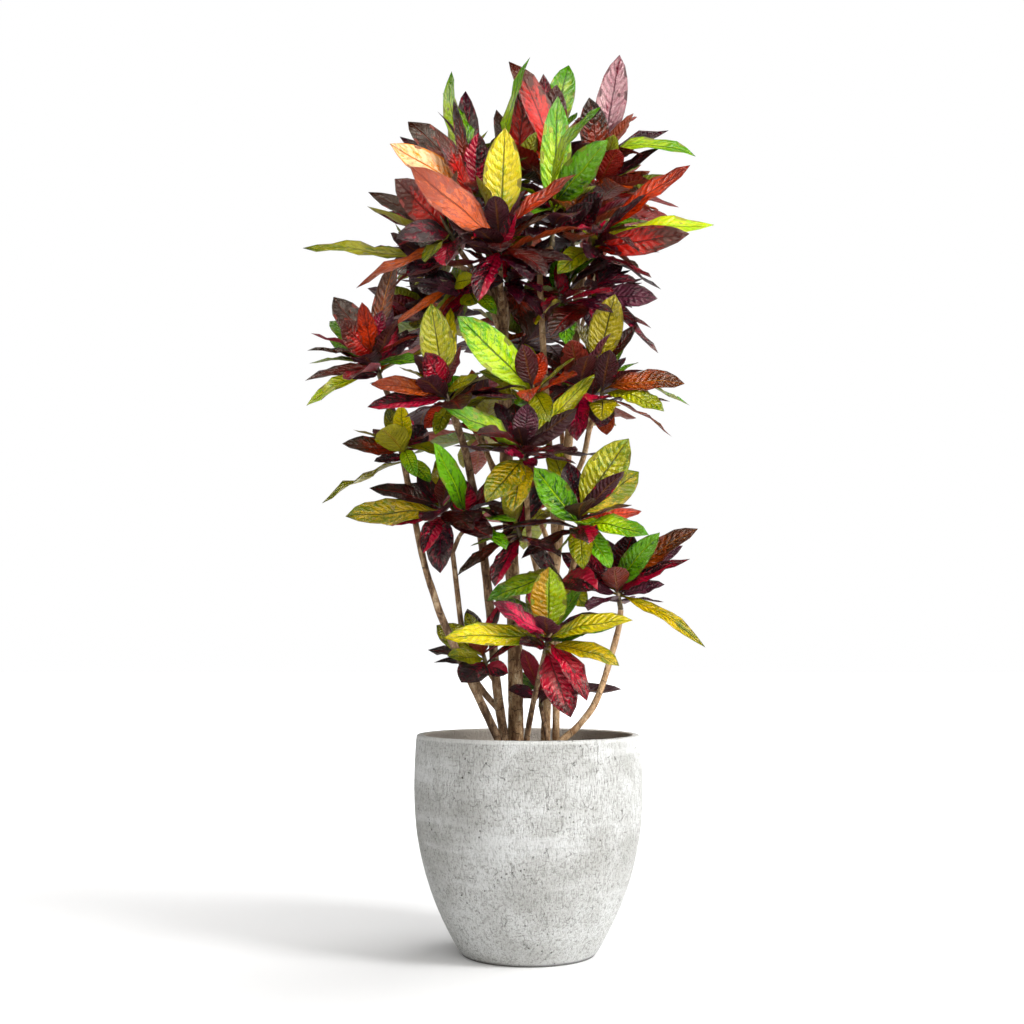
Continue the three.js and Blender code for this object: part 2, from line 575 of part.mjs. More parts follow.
// A round, tapered tube along a list of places, closed at both ends
function tube(path, fromRadius, toRadius, sides) {
  const points = [];
  const triangles = [];
  let across = vector(TUBE_START);
  path.forEach((place, i) => {
    const ahead = path[Math.min(i + 1, path.length - 1)];
    const behind = path[Math.max(i - 1, 0)];
    const along = ahead.clone().sub(behind).normalize();
    across = across.clone().addScaledVector(along, -across.dot(along)).normalize();
    const third = along.clone().cross(across);
    const radius = mix(fromRadius, toRadius, i / (path.length - 1));
    for (let k = 0; k < sides; k++) {
      const turn = (2 * Math.PI * k) / sides;
      const corner = place
        .clone()
        .addScaledVector(across, radius * Math.cos(turn))
        .addScaledVector(third, radius * Math.sin(turn));
      points.push(corner.toArray());
    }
  });
  for (let i = 0; i < path.length - 1; i++) {
    for (let k = 0; k < sides; k++) {
      const a = i * sides + k;
      const b = i * sides + ((k + 1) % sides);
      triangles.push([a, b, b + sides], [a, b + sides, a + sides]);
    }
  }
  const last = (path.length - 1) * sides;
  for (let k = 1; k < sides - 1; k++) {
    triangles.push([0, k + 1, k], [last, last + k, last + k + 1]);
  }
  return { points, triangles };
}

// A shoot's stem, a slim pyramid up to its bud, with its foot cut square to the cane that it grows on
function spike(foot, bud, radius, footAlong) {
  const across = vector(TUBE_START).projectOnPlane(footAlong).normalize();
  const third = footAlong.clone().cross(across);
  const points = [bud.toArray()];
  const triangles = [];
  for (let k = 0; k < SHOOT_SIDES; k++) {
    const turn = (2 * Math.PI * k) / SHOOT_SIDES;
    const corner = foot.clone().addScaledVector(across, radius * Math.cos(turn));
    points.push(corner.addScaledVector(third, radius * Math.sin(turn)).toArray());
    triangles.push([0, 1 + k, 1 + ((k + 1) % SHOOT_SIDES)]);
  }
  for (let k = 1; k < SHOOT_SIDES - 1; k++) triangles.push([1, 2 + k, 1 + k]);
  return { points, triangles };
}

// The canes' routes, with the foot that stands in the soil

function caneRoutes(name) {
  return CANES[name].map(([shoot, fromRadius, toRadius, route], i) => {
    const path = route.map(vector);
    if (i === 0) path.unshift(new THREE.Vector3(path[0].x, path[0].y, SOIL_TOP - CANE_FOOT_DEPTH));
    return { shoot, fromRadius, toRadius, path };
  });
}

// A shoot runs straight from the end of its cane to its own tip
function shootLine(name) {
  for (const cane of Object.keys(CANES)) {
    const branch = caneRoutes(cane).find((b) => b.shoot === name);
    if (!branch) continue;
    const [before, end] = branch.path.slice(-2);
    const ahead = end.clone().sub(before).normalize();
    const start = end.clone().addScaledVector(ahead, GAP);
    return { start, tip: vector(SHOOTS[name][0]), footAlong: ahead };
  }
}

// A leaf's root, at a height from 0 at the shoot's foot to 1 at its tip
const rootOn = (shoot, height) => shoot.start.clone().lerp(shoot.tip, mix(FOOT_SHARE, 1, height));

function budOf({ start, tip }) {
  const ahead = tip.clone().sub(start).normalize();
  return tip.clone().addScaledVector(ahead, BUD_LENGTH);
}

// The shape of one leaf

function outline(x) {
  const widest = OUTLINE_BASE_POWER / (OUTLINE_BASE_POWER + OUTLINE_TIP_POWER);
  return (x / widest) ** OUTLINE_BASE_POWER * ((1 - x) / (1 - widest)) ** OUTLINE_TIP_POWER;
}

// A point of the leaf: t runs from root to tip, across from -1 to 1, and depth is 0 on top and 1 at the keel.
// The section waves as a whole, so that the top and the keel never meet.
function leafPoint(leaf, t, across, depth) {
  const angle = leaf.arch * t;
  const x = Math.max(0, (t - STALK_SHARE) / (1 - STALK_SHARE));
  const along = leaf.heading.clone().multiplyScalar(Math.cos(angle));
  along.addScaledVector(leaf.normal, -Math.sin(angle));
  const up = leaf.heading.clone().multiplyScalar(Math.sin(angle));
  up.addScaledVector(leaf.normal, Math.cos(angle));
  const side = leaf.side.clone().multiplyScalar(Math.cos(leaf.twist * t));
  side.addScaledVector(up, Math.sin(leaf.twist * t));
  const over = side.clone().cross(along);
  const halfWidth = STALK_HALF_WIDTH * (1 - x) + (leaf.width / 2 - STALK_HALF_WIDTH) * outline(x);
  const wave = leaf.ripple * outline(x) * Math.sin(2 * Math.PI * leaf.waves * x + leaf.phase);
  const keel = KEEL_SHARE * halfWidth + MIDRIB_THICKNESS + STALK_EXTRA_THICKNESS * (1 - t) ** 2;
  const above = depth ? -keel - leaf.spare : (1 - Math.abs(across)) * leaf.spare;
  return leaf.root
    .clone()
    .addScaledVector(leaf.heading, (leaf.length * Math.sin(angle)) / leaf.arch)
    .addScaledVector(leaf.normal, (-leaf.length * (1 - Math.cos(angle))) / leaf.arch)
    .addScaledVector(side, across * (halfWidth + leaf.spare))
    .addScaledVector(over, wave + above);
}

// A blade is flat across its top and keeled by the midrib below: a narrow root, a section at each station and
// the tip. The corners of a section are the left edge, the keel, the right edge and, where a blade's free space
// is meant, one over the midrib.
const CORNERS = [
  [-1, 0],
  [0, 1],
  [1, 0],
  [0, 0],
];
const BLADE_CORNERS = 3;
const SPACE_CORNERS = 4;

function bladePoints(leaf, start, corners) {
  const points = [leafPoint(leaf, start, 0, 0), leafPoint(leaf, start, 0, 1)];
  for (const t of LEAF_STATIONS) {
    for (const [across, depth] of CORNERS.slice(0, corners)) points.push(leafPoint(leaf, t, across, depth));
  }
  const tip = leafPoint({ ...leaf, spare: 0 }, 1, 0, 0);
  const before = leafPoint({ ...leaf, spare: 0 }, NEAR_TIP, 0, 0);
  points.push(tip.clone().addScaledVector(tip.sub(before).normalize(), leaf.spare));
  return points.map((point) => point.toArray());
}

function bladeTriangles(corners) {
  const [top, bottom, first] = [0, 1, 2];
  const tip = first + corners * LEAF_STATIONS.length;
  const triangles = [
    [top, first, bottom],
    [bottom, first, first + 1],
    [bottom, first + 1, first + 2],
    [bottom, first + 2, top],
  ];
  for (let k = 2; k < corners; k++) triangles.push([top, first + k, first + ((k + 1) % corners)]);
  for (let ring = first; ring < tip - corners; ring += corners) {
    for (let k = 0; k < corners; k++) {
      const [here, next] = [ring + k, ring + ((k + 1) % corners)];
      triangles.push([here, next + corners, next], [here, here + corners, next + corners]);
    }
  }
  const last = tip - corners;
  for (let k = 0; k < corners; k++) triangles.push([tip, last + ((k + 1) % corners), last + k]);
  return triangles;
}

function edgesOf(triangles) {
  const edges = new Map();
  for (const [a, b, c] of triangles) {
    for (const [p, q] of [
      [a, b],
      [b, c],
      [c, a],
    ]) {
      edges.set(Math.min(p, q) + "-" + Math.max(p, q), [Math.min(p, q), Math.max(p, q)]);
    }
  }
  return [...edges.values()];
}

const BLADE_TRIANGLES = bladeTriangles(BLADE_CORNERS);
const BLADE_EDGES = edgesOf(BLADE_TRIANGLES);
const SPACE_TRIANGLES = bladeTriangles(SPACE_CORNERS);
const SPACE_EDGES = edgesOf(SPACE_TRIANGLES);

// The test for what crosses what: an edge of one body through a triangle of the other

function bodyOf(points, triangles, edges) {
  const low = [0, 1, 2].map((axis) => Math.min(...points.map((p) => p[axis])));
  const high = [0, 1, 2].map((axis) => Math.max(...points.map((p) => p[axis])));
  return { points, triangles, edges, low, high };
}

const bladeBody = (leaf, start) =>
  bodyOf(bladePoints(leaf, start, BLADE_CORNERS), BLADE_TRIANGLES, BLADE_EDGES);
function spaceOf(leaf, start) {
  const points = bladePoints({ ...leaf, spare: LEAF_CLEARANCE }, start, SPACE_CORNERS);
  return bodyOf(points, SPACE_TRIANGLES, SPACE_EDGES);
}

const apart = (lowA, highA, lowB, highB) =>
  lowA.some((low, axis) => low > highB[axis] || highA[axis] < lowB[axis]);

const minus = (a, b) => [a[0] - b[0], a[1] - b[1], a[2] - b[2]];
const dot = (a, b) => a[0] * b[0] + a[1] * b[1] + a[2] * b[2];
const cross = (a, b) => [a[1] * b[2] - a[2] * b[1], a[2] * b[0] - a[0] * b[2], a[0] * b[1] - a[1] * b[0]];

function pierces(from, to, a, b, c) {
  const way = minus(to, from);
  const ab = minus(b, a);
  const ac = minus(c, a);
  const p = cross(way, ac);
  const det = dot(ab, p);
  if (det === 0) return false;
  const s = minus(from, a);
  const u = dot(s, p) / det;
  if (u < 0 || u > 1) return false;
  const q = cross(s, ab);
  const v = dot(way, q) / det;
  if (v < 0 || u + v > 1) return false;
  const t = dot(ac, q) / det;
  return t >= 0 && t <= 1;
}

function edgesPierce(edged, faced) {
  const faces = faced.triangles.map((t) => t.map((i) => faced.points[i]));
  return edged.edges.some(([i, j]) => {
    const from = edged.points[i];
    const to = edged.points[j];
    const low = from.map((value, axis) => Math.min(value, to[axis]));
    const high = from.map((value, axis) => Math.max(value, to[axis]));
    if (apart(low, high, faced.low, faced.high)) return false;
    return faces.some(([a, b, c]) => pierces(from, to, a, b, c));
  });
}

function crossing(one, other) {
  if (apart(one.low, one.high, other.low, other.high)) return false;
  return edgesPierce(one, other) || edgesPierce(other, one);
}

// A leaf from its two ends: the chord bends into an arc, with the upper side towards facing

function leafBetween(root, tip, facing, arch, width, draws) {
  const chord = tip.clone().sub(root);
  const length = chord.length();
  const ahead = chord.clone().normalize();
  const up = facing.clone().addScaledVector(ahead, -facing.dot(ahead)).normalize();
  const bend = radians(Math.abs(arch) < LEAST_ARCH ? LEAST_ARCH : arch);
  const heading = ahead.clone().multiplyScalar(Math.cos(bend / 2)).addScaledVector(up, Math.sin(bend / 2));
  const normal = up.clone().multiplyScalar(Math.cos(bend / 2)).addScaledVector(ahead, -Math.sin(bend / 2));
  return {
    root,
    heading,
    normal,
    side: heading.clone().cross(normal),
    arch: bend,
    length: (bend * length) / (2 * Math.sin(bend / 2)),
    width,
    twist: radians(mix(...TWIST, draws[0])),
    ripple: RIPPLE_SHARE * length * mix(...RIPPLE_CHANCE, draws[1]),
    waves: mix(...WAVES, draws[2]),
    phase: 2 * Math.PI * draws[3],
    spare: 0,
  };
}

// Growing: the placed leaves first, then the others in turn, each in the first free place that it finds

// A whole number either side of 0 for each try, 0 for the first, in an order that jumps about
function shuffled(attempt, stride, places) {
  const place = (attempt * stride) % places;
  return place > places / 2 ? place - places : place;
}

function placedLeaf(row, shoot, attempt) {
  const [, , height, tip, facing, arch, width] = row;
  const draws = seeded(LEAVES.indexOf(row));
  const shift = TRY_SHIFT * Math.ceil(attempt / 2) * (attempt % 2 ? -1 : 1);
  const roll = radians(TRY_ROLL * shuffled(attempt, ROLL_STRIDE, ROLL_PLACES));
  const end = vector(tip);
  end.y += shift;
  const root = rootOn(shoot, height);
  const ahead = end.clone().sub(root).normalize();
  const look = vector(FACINGS[facing]).applyAxisAngle(ahead, roll);
  const shrink = 1 - PLACED_SHRINK * attempt;
  return leafBetween(root, end, look, arch, width * shrink, [draws(), draws(), draws(), draws()]);
}

function ruleLeaf(name, k, shoot, attempt) {
  const order = Object.keys(SHOOTS).indexOf(name);
  const draw = seeded(RULE_SEED + RULE_SEED_STEP * order + k);
  const height = (k + 0.5) / SHOOTS[name][1];
  const root = rootOn(shoot, height);
  const axis = shoot.tip.clone().sub(shoot.start).normalize();
  const swing = TRY_SWING * shuffled(attempt, SWING_STRIDE, SWING_PLACES);
  const lean = TRY_LEAN * shuffled(attempt, LEAN_STRIDE, LEAN_PLACES);
  const turn = TURN_BETWEEN_LEAVES * k + TURN_BETWEEN_SHOOTS * order + mix(...TURN_CHANCE, draw()) + swing;
  const spread = radians(mix(...SPREAD_FROM_SHOOT, height) + mix(...SPREAD_CHANCE, draw()) + lean);
  const shrink = 1 - RULE_SHRINK * attempt;
  const length = mix(...RULE_LENGTH, height) * mix(...LENGTH_CHANCE, draw()) * shrink;
  const outward = new THREE.Vector3(Math.cos(radians(turn)), Math.sin(radians(turn)), 0);
  outward.addScaledVector(axis, -outward.dot(axis)).normalize();
  const ahead = axis.clone().multiplyScalar(Math.cos(spread)).addScaledVector(outward, Math.sin(spread));
  const look = axis.clone().multiplyScalar(Math.sin(spread));
  look.addScaledVector(outward, -Math.cos(spread));
  const end = root.clone().addScaledVector(ahead, length);
  const arch = mix(...RULE_ARCH, height) * mix(...ARCH_CHANCE, draw());
  const width = RULE_WIDTH_SHARE * length * mix(...WIDTH_CHANCE, draw());
  return leafBetween(root, end, look, arch, width, [draw(), draw(), draw(), draw()]);
}

function growPlant() {
  const shoots = new Map();
  const taken = [];
  const free = (name, leaf) => {
    const whole = bladeBody(leaf, 0);
    const outside = bladeBody(leaf, OUTSIDE_SHOOT);
    if (whole.low[2] < POT_HEIGHT + RIM_CLEARANCE) return false;
    return !taken.some(({ owner, body, outer }) => {
      if (owner === name + " stem") return false;
      return owner === name ? crossing(outside, outer) : crossing(whole, body);
    });
  };
  const settle = (name, tries, leafAt) => {
    for (let attempt = 0; attempt < tries; attempt++) {
      const leaf = leafAt(attempt);
      if (!free(name, leaf)) continue;
      shoots.get(name).leaves.push(leaf);
      taken.push({ owner: name, body: spaceOf(leaf, 0), outer: spaceOf(leaf, OUTSIDE_SHOOT) });
      return;
    }
  };
  const guardTube = (owner, path, fromRadius, toRadius) => {
    for (let i = 0; i < path.length - 1; i++) {
      const radiusAt = (k) => mix(fromRadius, toRadius, k / (path.length - 1)) + CANE_CLEARANCE;
      const { points, triangles } = tube(path.slice(i, i + 2), radiusAt(i), radiusAt(i + 1), SPACE_SIDES);
      taken.push({ owner, body: bodyOf(points, triangles, edgesOf(triangles)) });
    }
  };
  for (const cane of Object.keys(CANES)) {
    for (const branch of caneRoutes(cane)) {
      guardTube(cane, branch.path, branch.fromRadius, branch.toRadius);
    }
  }
  for (const name of Object.keys(SHOOTS)) {
    const shoot = { ...shootLine(name), leaves: [] };
    shoots.set(name, shoot);
    guardTube(name + " stem", [shoot.start, budOf(shoot)], SHOOT_RADIUS, 0);
  }
  for (const row of LEAVES) {
    const shoot = shoots.get(row[0]);
    settle(row[0], PLACED_TRIES, (attempt) => placedLeaf(row, shoot, attempt));
  }
  const most = Math.max(...Object.values(SHOOTS).map((shoot) => shoot[1]));
  for (let k = 0; k < most; k++) {
    for (const [name, [, count]] of Object.entries(SHOOTS)) {
      const shoot = shoots.get(name);
      if (k < count) settle(name, RULE_TRIES, (attempt) => ruleLeaf(name, k, shoot, attempt));
    }
  }
  return shoots;
}

// Solids of the plant

function leafySolid(shoot) {
  const stem = spike(shoot.start, budOf(shoot), SHOOT_RADIUS, shoot.footAlong);
  let body = solid(meshGeometry(stem.points, stem.triangles));
  for (const leaf of shoot.leaves) {
    body = body.add(solid(meshGeometry(bladePoints(leaf, 0, BLADE_CORNERS), BLADE_TRIANGLES)));
  }
  return body;
}

function caneSolid(name, extra = 0) {
  let body;
  for (const { path, fromRadius, toRadius } of caneRoutes(name)) {
    const route = path.map((place) => place.clone());
    if (extra && !body) route[0].z -= extra;
    const sides = fromRadius > TWIG_RADIUS ? CANE_SIDES : TWIG_SIDES;
    const { points, triangles } = tube(route, fromRadius + extra, toRadius + extra, sides);
    const branch = solid(meshGeometry(points, triangles));
    body = body ? body.add(branch) : branch;
    if (extra) break;
  }
  return body;
}

// The pot and its soil, both turned about Z

function potRadius(z) {
  const below = Math.max(0, (POT_BELLY_HEIGHT - z) / POT_BELLY_HEIGHT);
  const above = Math.max(0, (z - POT_BELLY_HEIGHT) / (POT_HEIGHT - POT_BELLY_HEIGHT));
  return (
    POT_BELLY_RADIUS -
    (POT_BELLY_RADIUS - POT_BASE_RADIUS) * below ** POT_TAPER_POWER -
    (POT_BELLY_RADIUS - POT_RIM_RADIUS) * above ** 2
  );
}

function wallProfile(inset, fromHeight, toHeight, steps) {
  const profile = [];
  for (let i = 0; i <= steps; i++) {
    const z = mix(fromHeight, toHeight, i / steps);
    profile.push(new THREE.Vector2(potRadius(z) - inset, z));
  }
  return profile;
}

function turned(profile) {
  const geometry = new THREE.LatheGeometry(profile, POT_SIDES);
  geometry.rotateX(Math.PI / 2);
  return geometry;
}

function potGeometry() {
  const profile = [
    new THREE.Vector2(0, 0),
    new THREE.Vector2(POT_BASE_RADIUS - POT_EDGE_ROUND, 0),
    ...wallProfile(0, POT_EDGE_ROUND, POT_HEIGHT - POT_EDGE_ROUND, POT_STEPS),
    new THREE.Vector2(POT_RIM_RADIUS - POT_EDGE_ROUND, POT_HEIGHT),
    new THREE.Vector2(POT_RIM_RADIUS - POT_WALL + POT_EDGE_ROUND, POT_HEIGHT),
    new THREE.Vector2(POT_RIM_RADIUS - POT_WALL, POT_HEIGHT - POT_EDGE_ROUND),
    ...wallProfile(POT_WALL, POT_FLOOR, SOIL_TOP, WALL_STEPS).reverse(),
    new THREE.Vector2(0, POT_FLOOR),
  ];
  return turned(profile);
}

function soilGeometry() {
  const wall = wallProfile(POT_WALL + GAP, POT_FLOOR + GAP, SOIL_TOP, WALL_STEPS);
  const profile = [
    new THREE.Vector2(0, POT_FLOOR + GAP),
    ...wall,
    new THREE.Vector2(SOIL_CROWN_RADIUS, SOIL_TOP + SOIL_CROWN),
    new THREE.Vector2(0, SOIL_TOP + SOIL_CROWN),
  ];
  return turned(profile);
}

// The parts, put together

function part(name, geometry, colour, roughness) {
  const material = new THREE.MeshStandardMaterial({ color: colour, roughness, metalness: 0 });
  const mesh = new THREE.Mesh(geometry, material);
  mesh.name = name;
  return mesh;
}

const croton = new THREE.Group();
croton.add(part("pot", potGeometry(), POT_COLOUR, POT_ROUGHNESS));

let soil = solid(soilGeometry());
for (const name of Object.keys(CANES)) {
  croton.add(part(name, geometryOf(caneSolid(name)), CANE_COLOURS[name], CANE_ROUGHNESS));
  soil = soil.subtract(caneSolid(name, GAP));
}
croton.add(part("soil", geometryOf(soil), SOIL_COLOUR, SOIL_ROUGHNESS));

for (const [name, shoot] of growPlant()) {
  const colour = LEAVES.find((row) => row[0] === name)?.[1] ?? BACK_LEAF_COLOUR;
  croton.add(part(name, geometryOf(leafySolid(shoot)), LEAF_COLOURS[colour], LEAF_ROUGHNESS));
}

export default croton;
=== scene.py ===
# %% [markdown]
# # A croton in a stone pot
# A croton is a shrub with bare woody canes that end in bunches of glossy, leathery leaves, from lime to
# near black. This lesson dresses a model of one that is already the right size. It makes the pot, the soil,
# the canes and the leaves again with finer shapes, adds young leaves where there are gaps, and gives each
# its colours.
#
# The finished plain model is loaded first. Its box is the limit that the finer pieces have to keep to. The
# young leaves that fill gaps are kept inside its box.

# %% Load the plain model
import math
from functools import partial

import bpy
import numpy as np
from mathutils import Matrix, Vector
from mathutils import noise as clouds


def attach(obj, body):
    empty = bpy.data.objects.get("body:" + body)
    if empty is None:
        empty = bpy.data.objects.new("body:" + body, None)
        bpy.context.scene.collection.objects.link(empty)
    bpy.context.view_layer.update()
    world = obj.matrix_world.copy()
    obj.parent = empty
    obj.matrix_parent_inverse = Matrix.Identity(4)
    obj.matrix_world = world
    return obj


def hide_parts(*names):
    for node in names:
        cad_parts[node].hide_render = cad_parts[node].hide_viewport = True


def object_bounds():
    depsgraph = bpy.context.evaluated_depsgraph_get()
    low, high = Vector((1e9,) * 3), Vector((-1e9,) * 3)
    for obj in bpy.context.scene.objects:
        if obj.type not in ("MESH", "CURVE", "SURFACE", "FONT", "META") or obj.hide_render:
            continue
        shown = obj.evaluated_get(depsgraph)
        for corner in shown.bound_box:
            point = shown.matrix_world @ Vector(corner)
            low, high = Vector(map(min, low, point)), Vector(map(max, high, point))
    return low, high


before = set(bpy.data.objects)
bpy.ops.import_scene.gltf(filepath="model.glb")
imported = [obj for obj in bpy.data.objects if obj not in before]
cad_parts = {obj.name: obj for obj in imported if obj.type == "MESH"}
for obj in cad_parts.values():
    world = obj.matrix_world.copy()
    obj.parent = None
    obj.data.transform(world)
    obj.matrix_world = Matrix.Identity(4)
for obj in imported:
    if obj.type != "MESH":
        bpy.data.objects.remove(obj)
plain_low, plain_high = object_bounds()
MM = 0.001
print("plain model from", tuple(round(c, 3) for c in plain_low), "to", tuple(round(c, 3) for c in plain_high))

# %% [markdown]
# ## Node trees as sums
# Materials and Geometry Nodes are both graphs of nodes, and a graph typed out link by link is hard to read.
# It could be kept in a library file instead, but then the lesson would hide it. Here a Wire stands for an
# output socket, and a sum or a product of Wires adds the nodes that work it out. All other nodes come from
# one method.

# %% A wire that can be added up
class Wire:
    """An output socket. Its operators add Math nodes, or Vector Math nodes where a vector takes part."""

    def __init__(self, graph, socket):
        self.graph = graph
        self.socket = socket

    def __add__(self, other):
        return self.graph.sum("ADD", self, other)

    def __radd__(self, other):
        return self.graph.sum("ADD", other, self)

    def __sub__(self, other):
        return self.graph.sum("SUBTRACT", self, other)

    def __rsub__(self, other):
        return self.graph.sum("SUBTRACT", other, self)

    def __mul__(self, other):
        return self.graph.sum("MULTIPLY", self, other)

    def __rmul__(self, other):
        return self.graph.sum("MULTIPLY", other, self)

    def __truediv__(self, other):
        return self.graph.sum("DIVIDE", self, other)

    def __pow__(self, other):
        return self.graph.sum("POWER", self, other)

    def ranged(self, low, high, to_low=0.0, to_high=1.0):
        """to_low where this is low, to_high where it is high, and a soft slope between."""
        settings = {"interpolation_type": "SMOOTHSTEP"}
        return self.graph.add("ShaderNodeMapRange", settings, (self, low, high, to_low, to_high))


def is_vector(value):
    return isinstance(value, Wire) and value.socket.type == "VECTOR"


class Graph:
    """A node tree, and the one method that adds a node to it."""

    def __init__(self, tree):
        self.tree = tree

    def add(self, kind, settings=(), inputs=(), output=0):
        """Adds a node, sets it up, feeds its sockets by name or number, and returns one of its outputs."""
        node = self.tree.nodes.new(kind)
        for name, value in dict(settings).items():
            setattr(node, name, value)
        for key, value in dict(inputs if isinstance(inputs, dict) else enumerate(inputs)).items():
            socket = node.inputs[key] if isinstance(key, int) else self.named(node.inputs, key)
            self.feed(socket, value)
        return Wire(self, node.outputs[output]) if node.outputs else node

    @staticmethod
    def named(sockets, name):
        return next(socket for socket in sockets if socket.name == name and socket.enabled)

    def feed(self, socket, value):
        if isinstance(value, Wire):
            self.tree.links.new(value.socket, socket)
        elif value is not None:
            socket.default_value = value

    def sum(self, operation, first, second):
        if not (is_vector(first) or is_vector(second)):
            return self.add("ShaderNodeMath", {"operation": operation}, (first, second))
        if operation == "MULTIPLY" and not (is_vector(first) and is_vector(second)):
            vector, factor = (first, second) if is_vector(first) else (second, first)
            return self.add("ShaderNodeVectorMath", {"operation": "SCALE"}, {0: vector, 3: factor})
        return self.add("ShaderNodeVectorMath", {"operation": operation}, (first, second))

    def maths(self, operation, *values):
        return self.add("ShaderNodeMath", {"operation": operation}, values)

    def blend(self, share, first, second, kind="MIX"):
        """A colour between two, or the two put together in another of the Mix node's ways."""
        settings = {"data_type": "RGBA", "blend_type": kind, "clamp_factor": True}
        return self.add("ShaderNodeMix", settings, {0: share, 6: first, 7: second}, output=2)

    def join(self, x, y, z):
        return self.add("ShaderNodeCombineXYZ", (), (x, y, z))

    def part(self, vector, axis):
        return self.add("ShaderNodeSeparateXYZ", (), (vector,), output=axis)

    def parts(self, vector):
        return [self.part(vector, axis) for axis in range(3)]

    def noise(self, place, scale, detail=2.0, roughness=0.5, output=0):
        inputs = {"Vector": place, "Scale": scale, "Detail": detail, "Roughness": roughness}
        return self.add("ShaderNodeTexNoise", (), inputs, output)


def srgb(red, green, blue):
    """A colour, from 0 to 255, as the linear light that shaders reckon in."""
    steps = [c / 255 for c in (red, green, blue)]
    return (*[s / 12.92 if s <= 0.04045 else ((s + 0.055) / 1.055) ** 2.4 for s in steps], 1.0)


print("wires ready")

# %% [markdown]
# ## What the plant is made of
# The croton has eight canes. Each cane is a few branches, and a leafy shoot goes on from the end of each
# branch. The tables give the canes' routes, the tips of the shoots and the leaves that are seen best, in
# millimetres. The rest of the leaves follow a rule. Tables are short to read and can't drift from the plain
# model, as a plant modelled again by hand would.

# %% Sizes of the pot, the soil and the parts of the plant
POT = dict(
    height=381, base=119, belly=203.5, belly_height=290, rim=200,
    wall=15, floor=22, taper=2.15, edge=3,
)
SOIL = dict(top=341, crown=6, crown_radius=105)
CANE_FOOT_DEPTH = 90
GAP = 0.3
SHOOT_RADIUS = 4.5
BUD_LENGTH = 24
FOOT_SHARE = 0.14

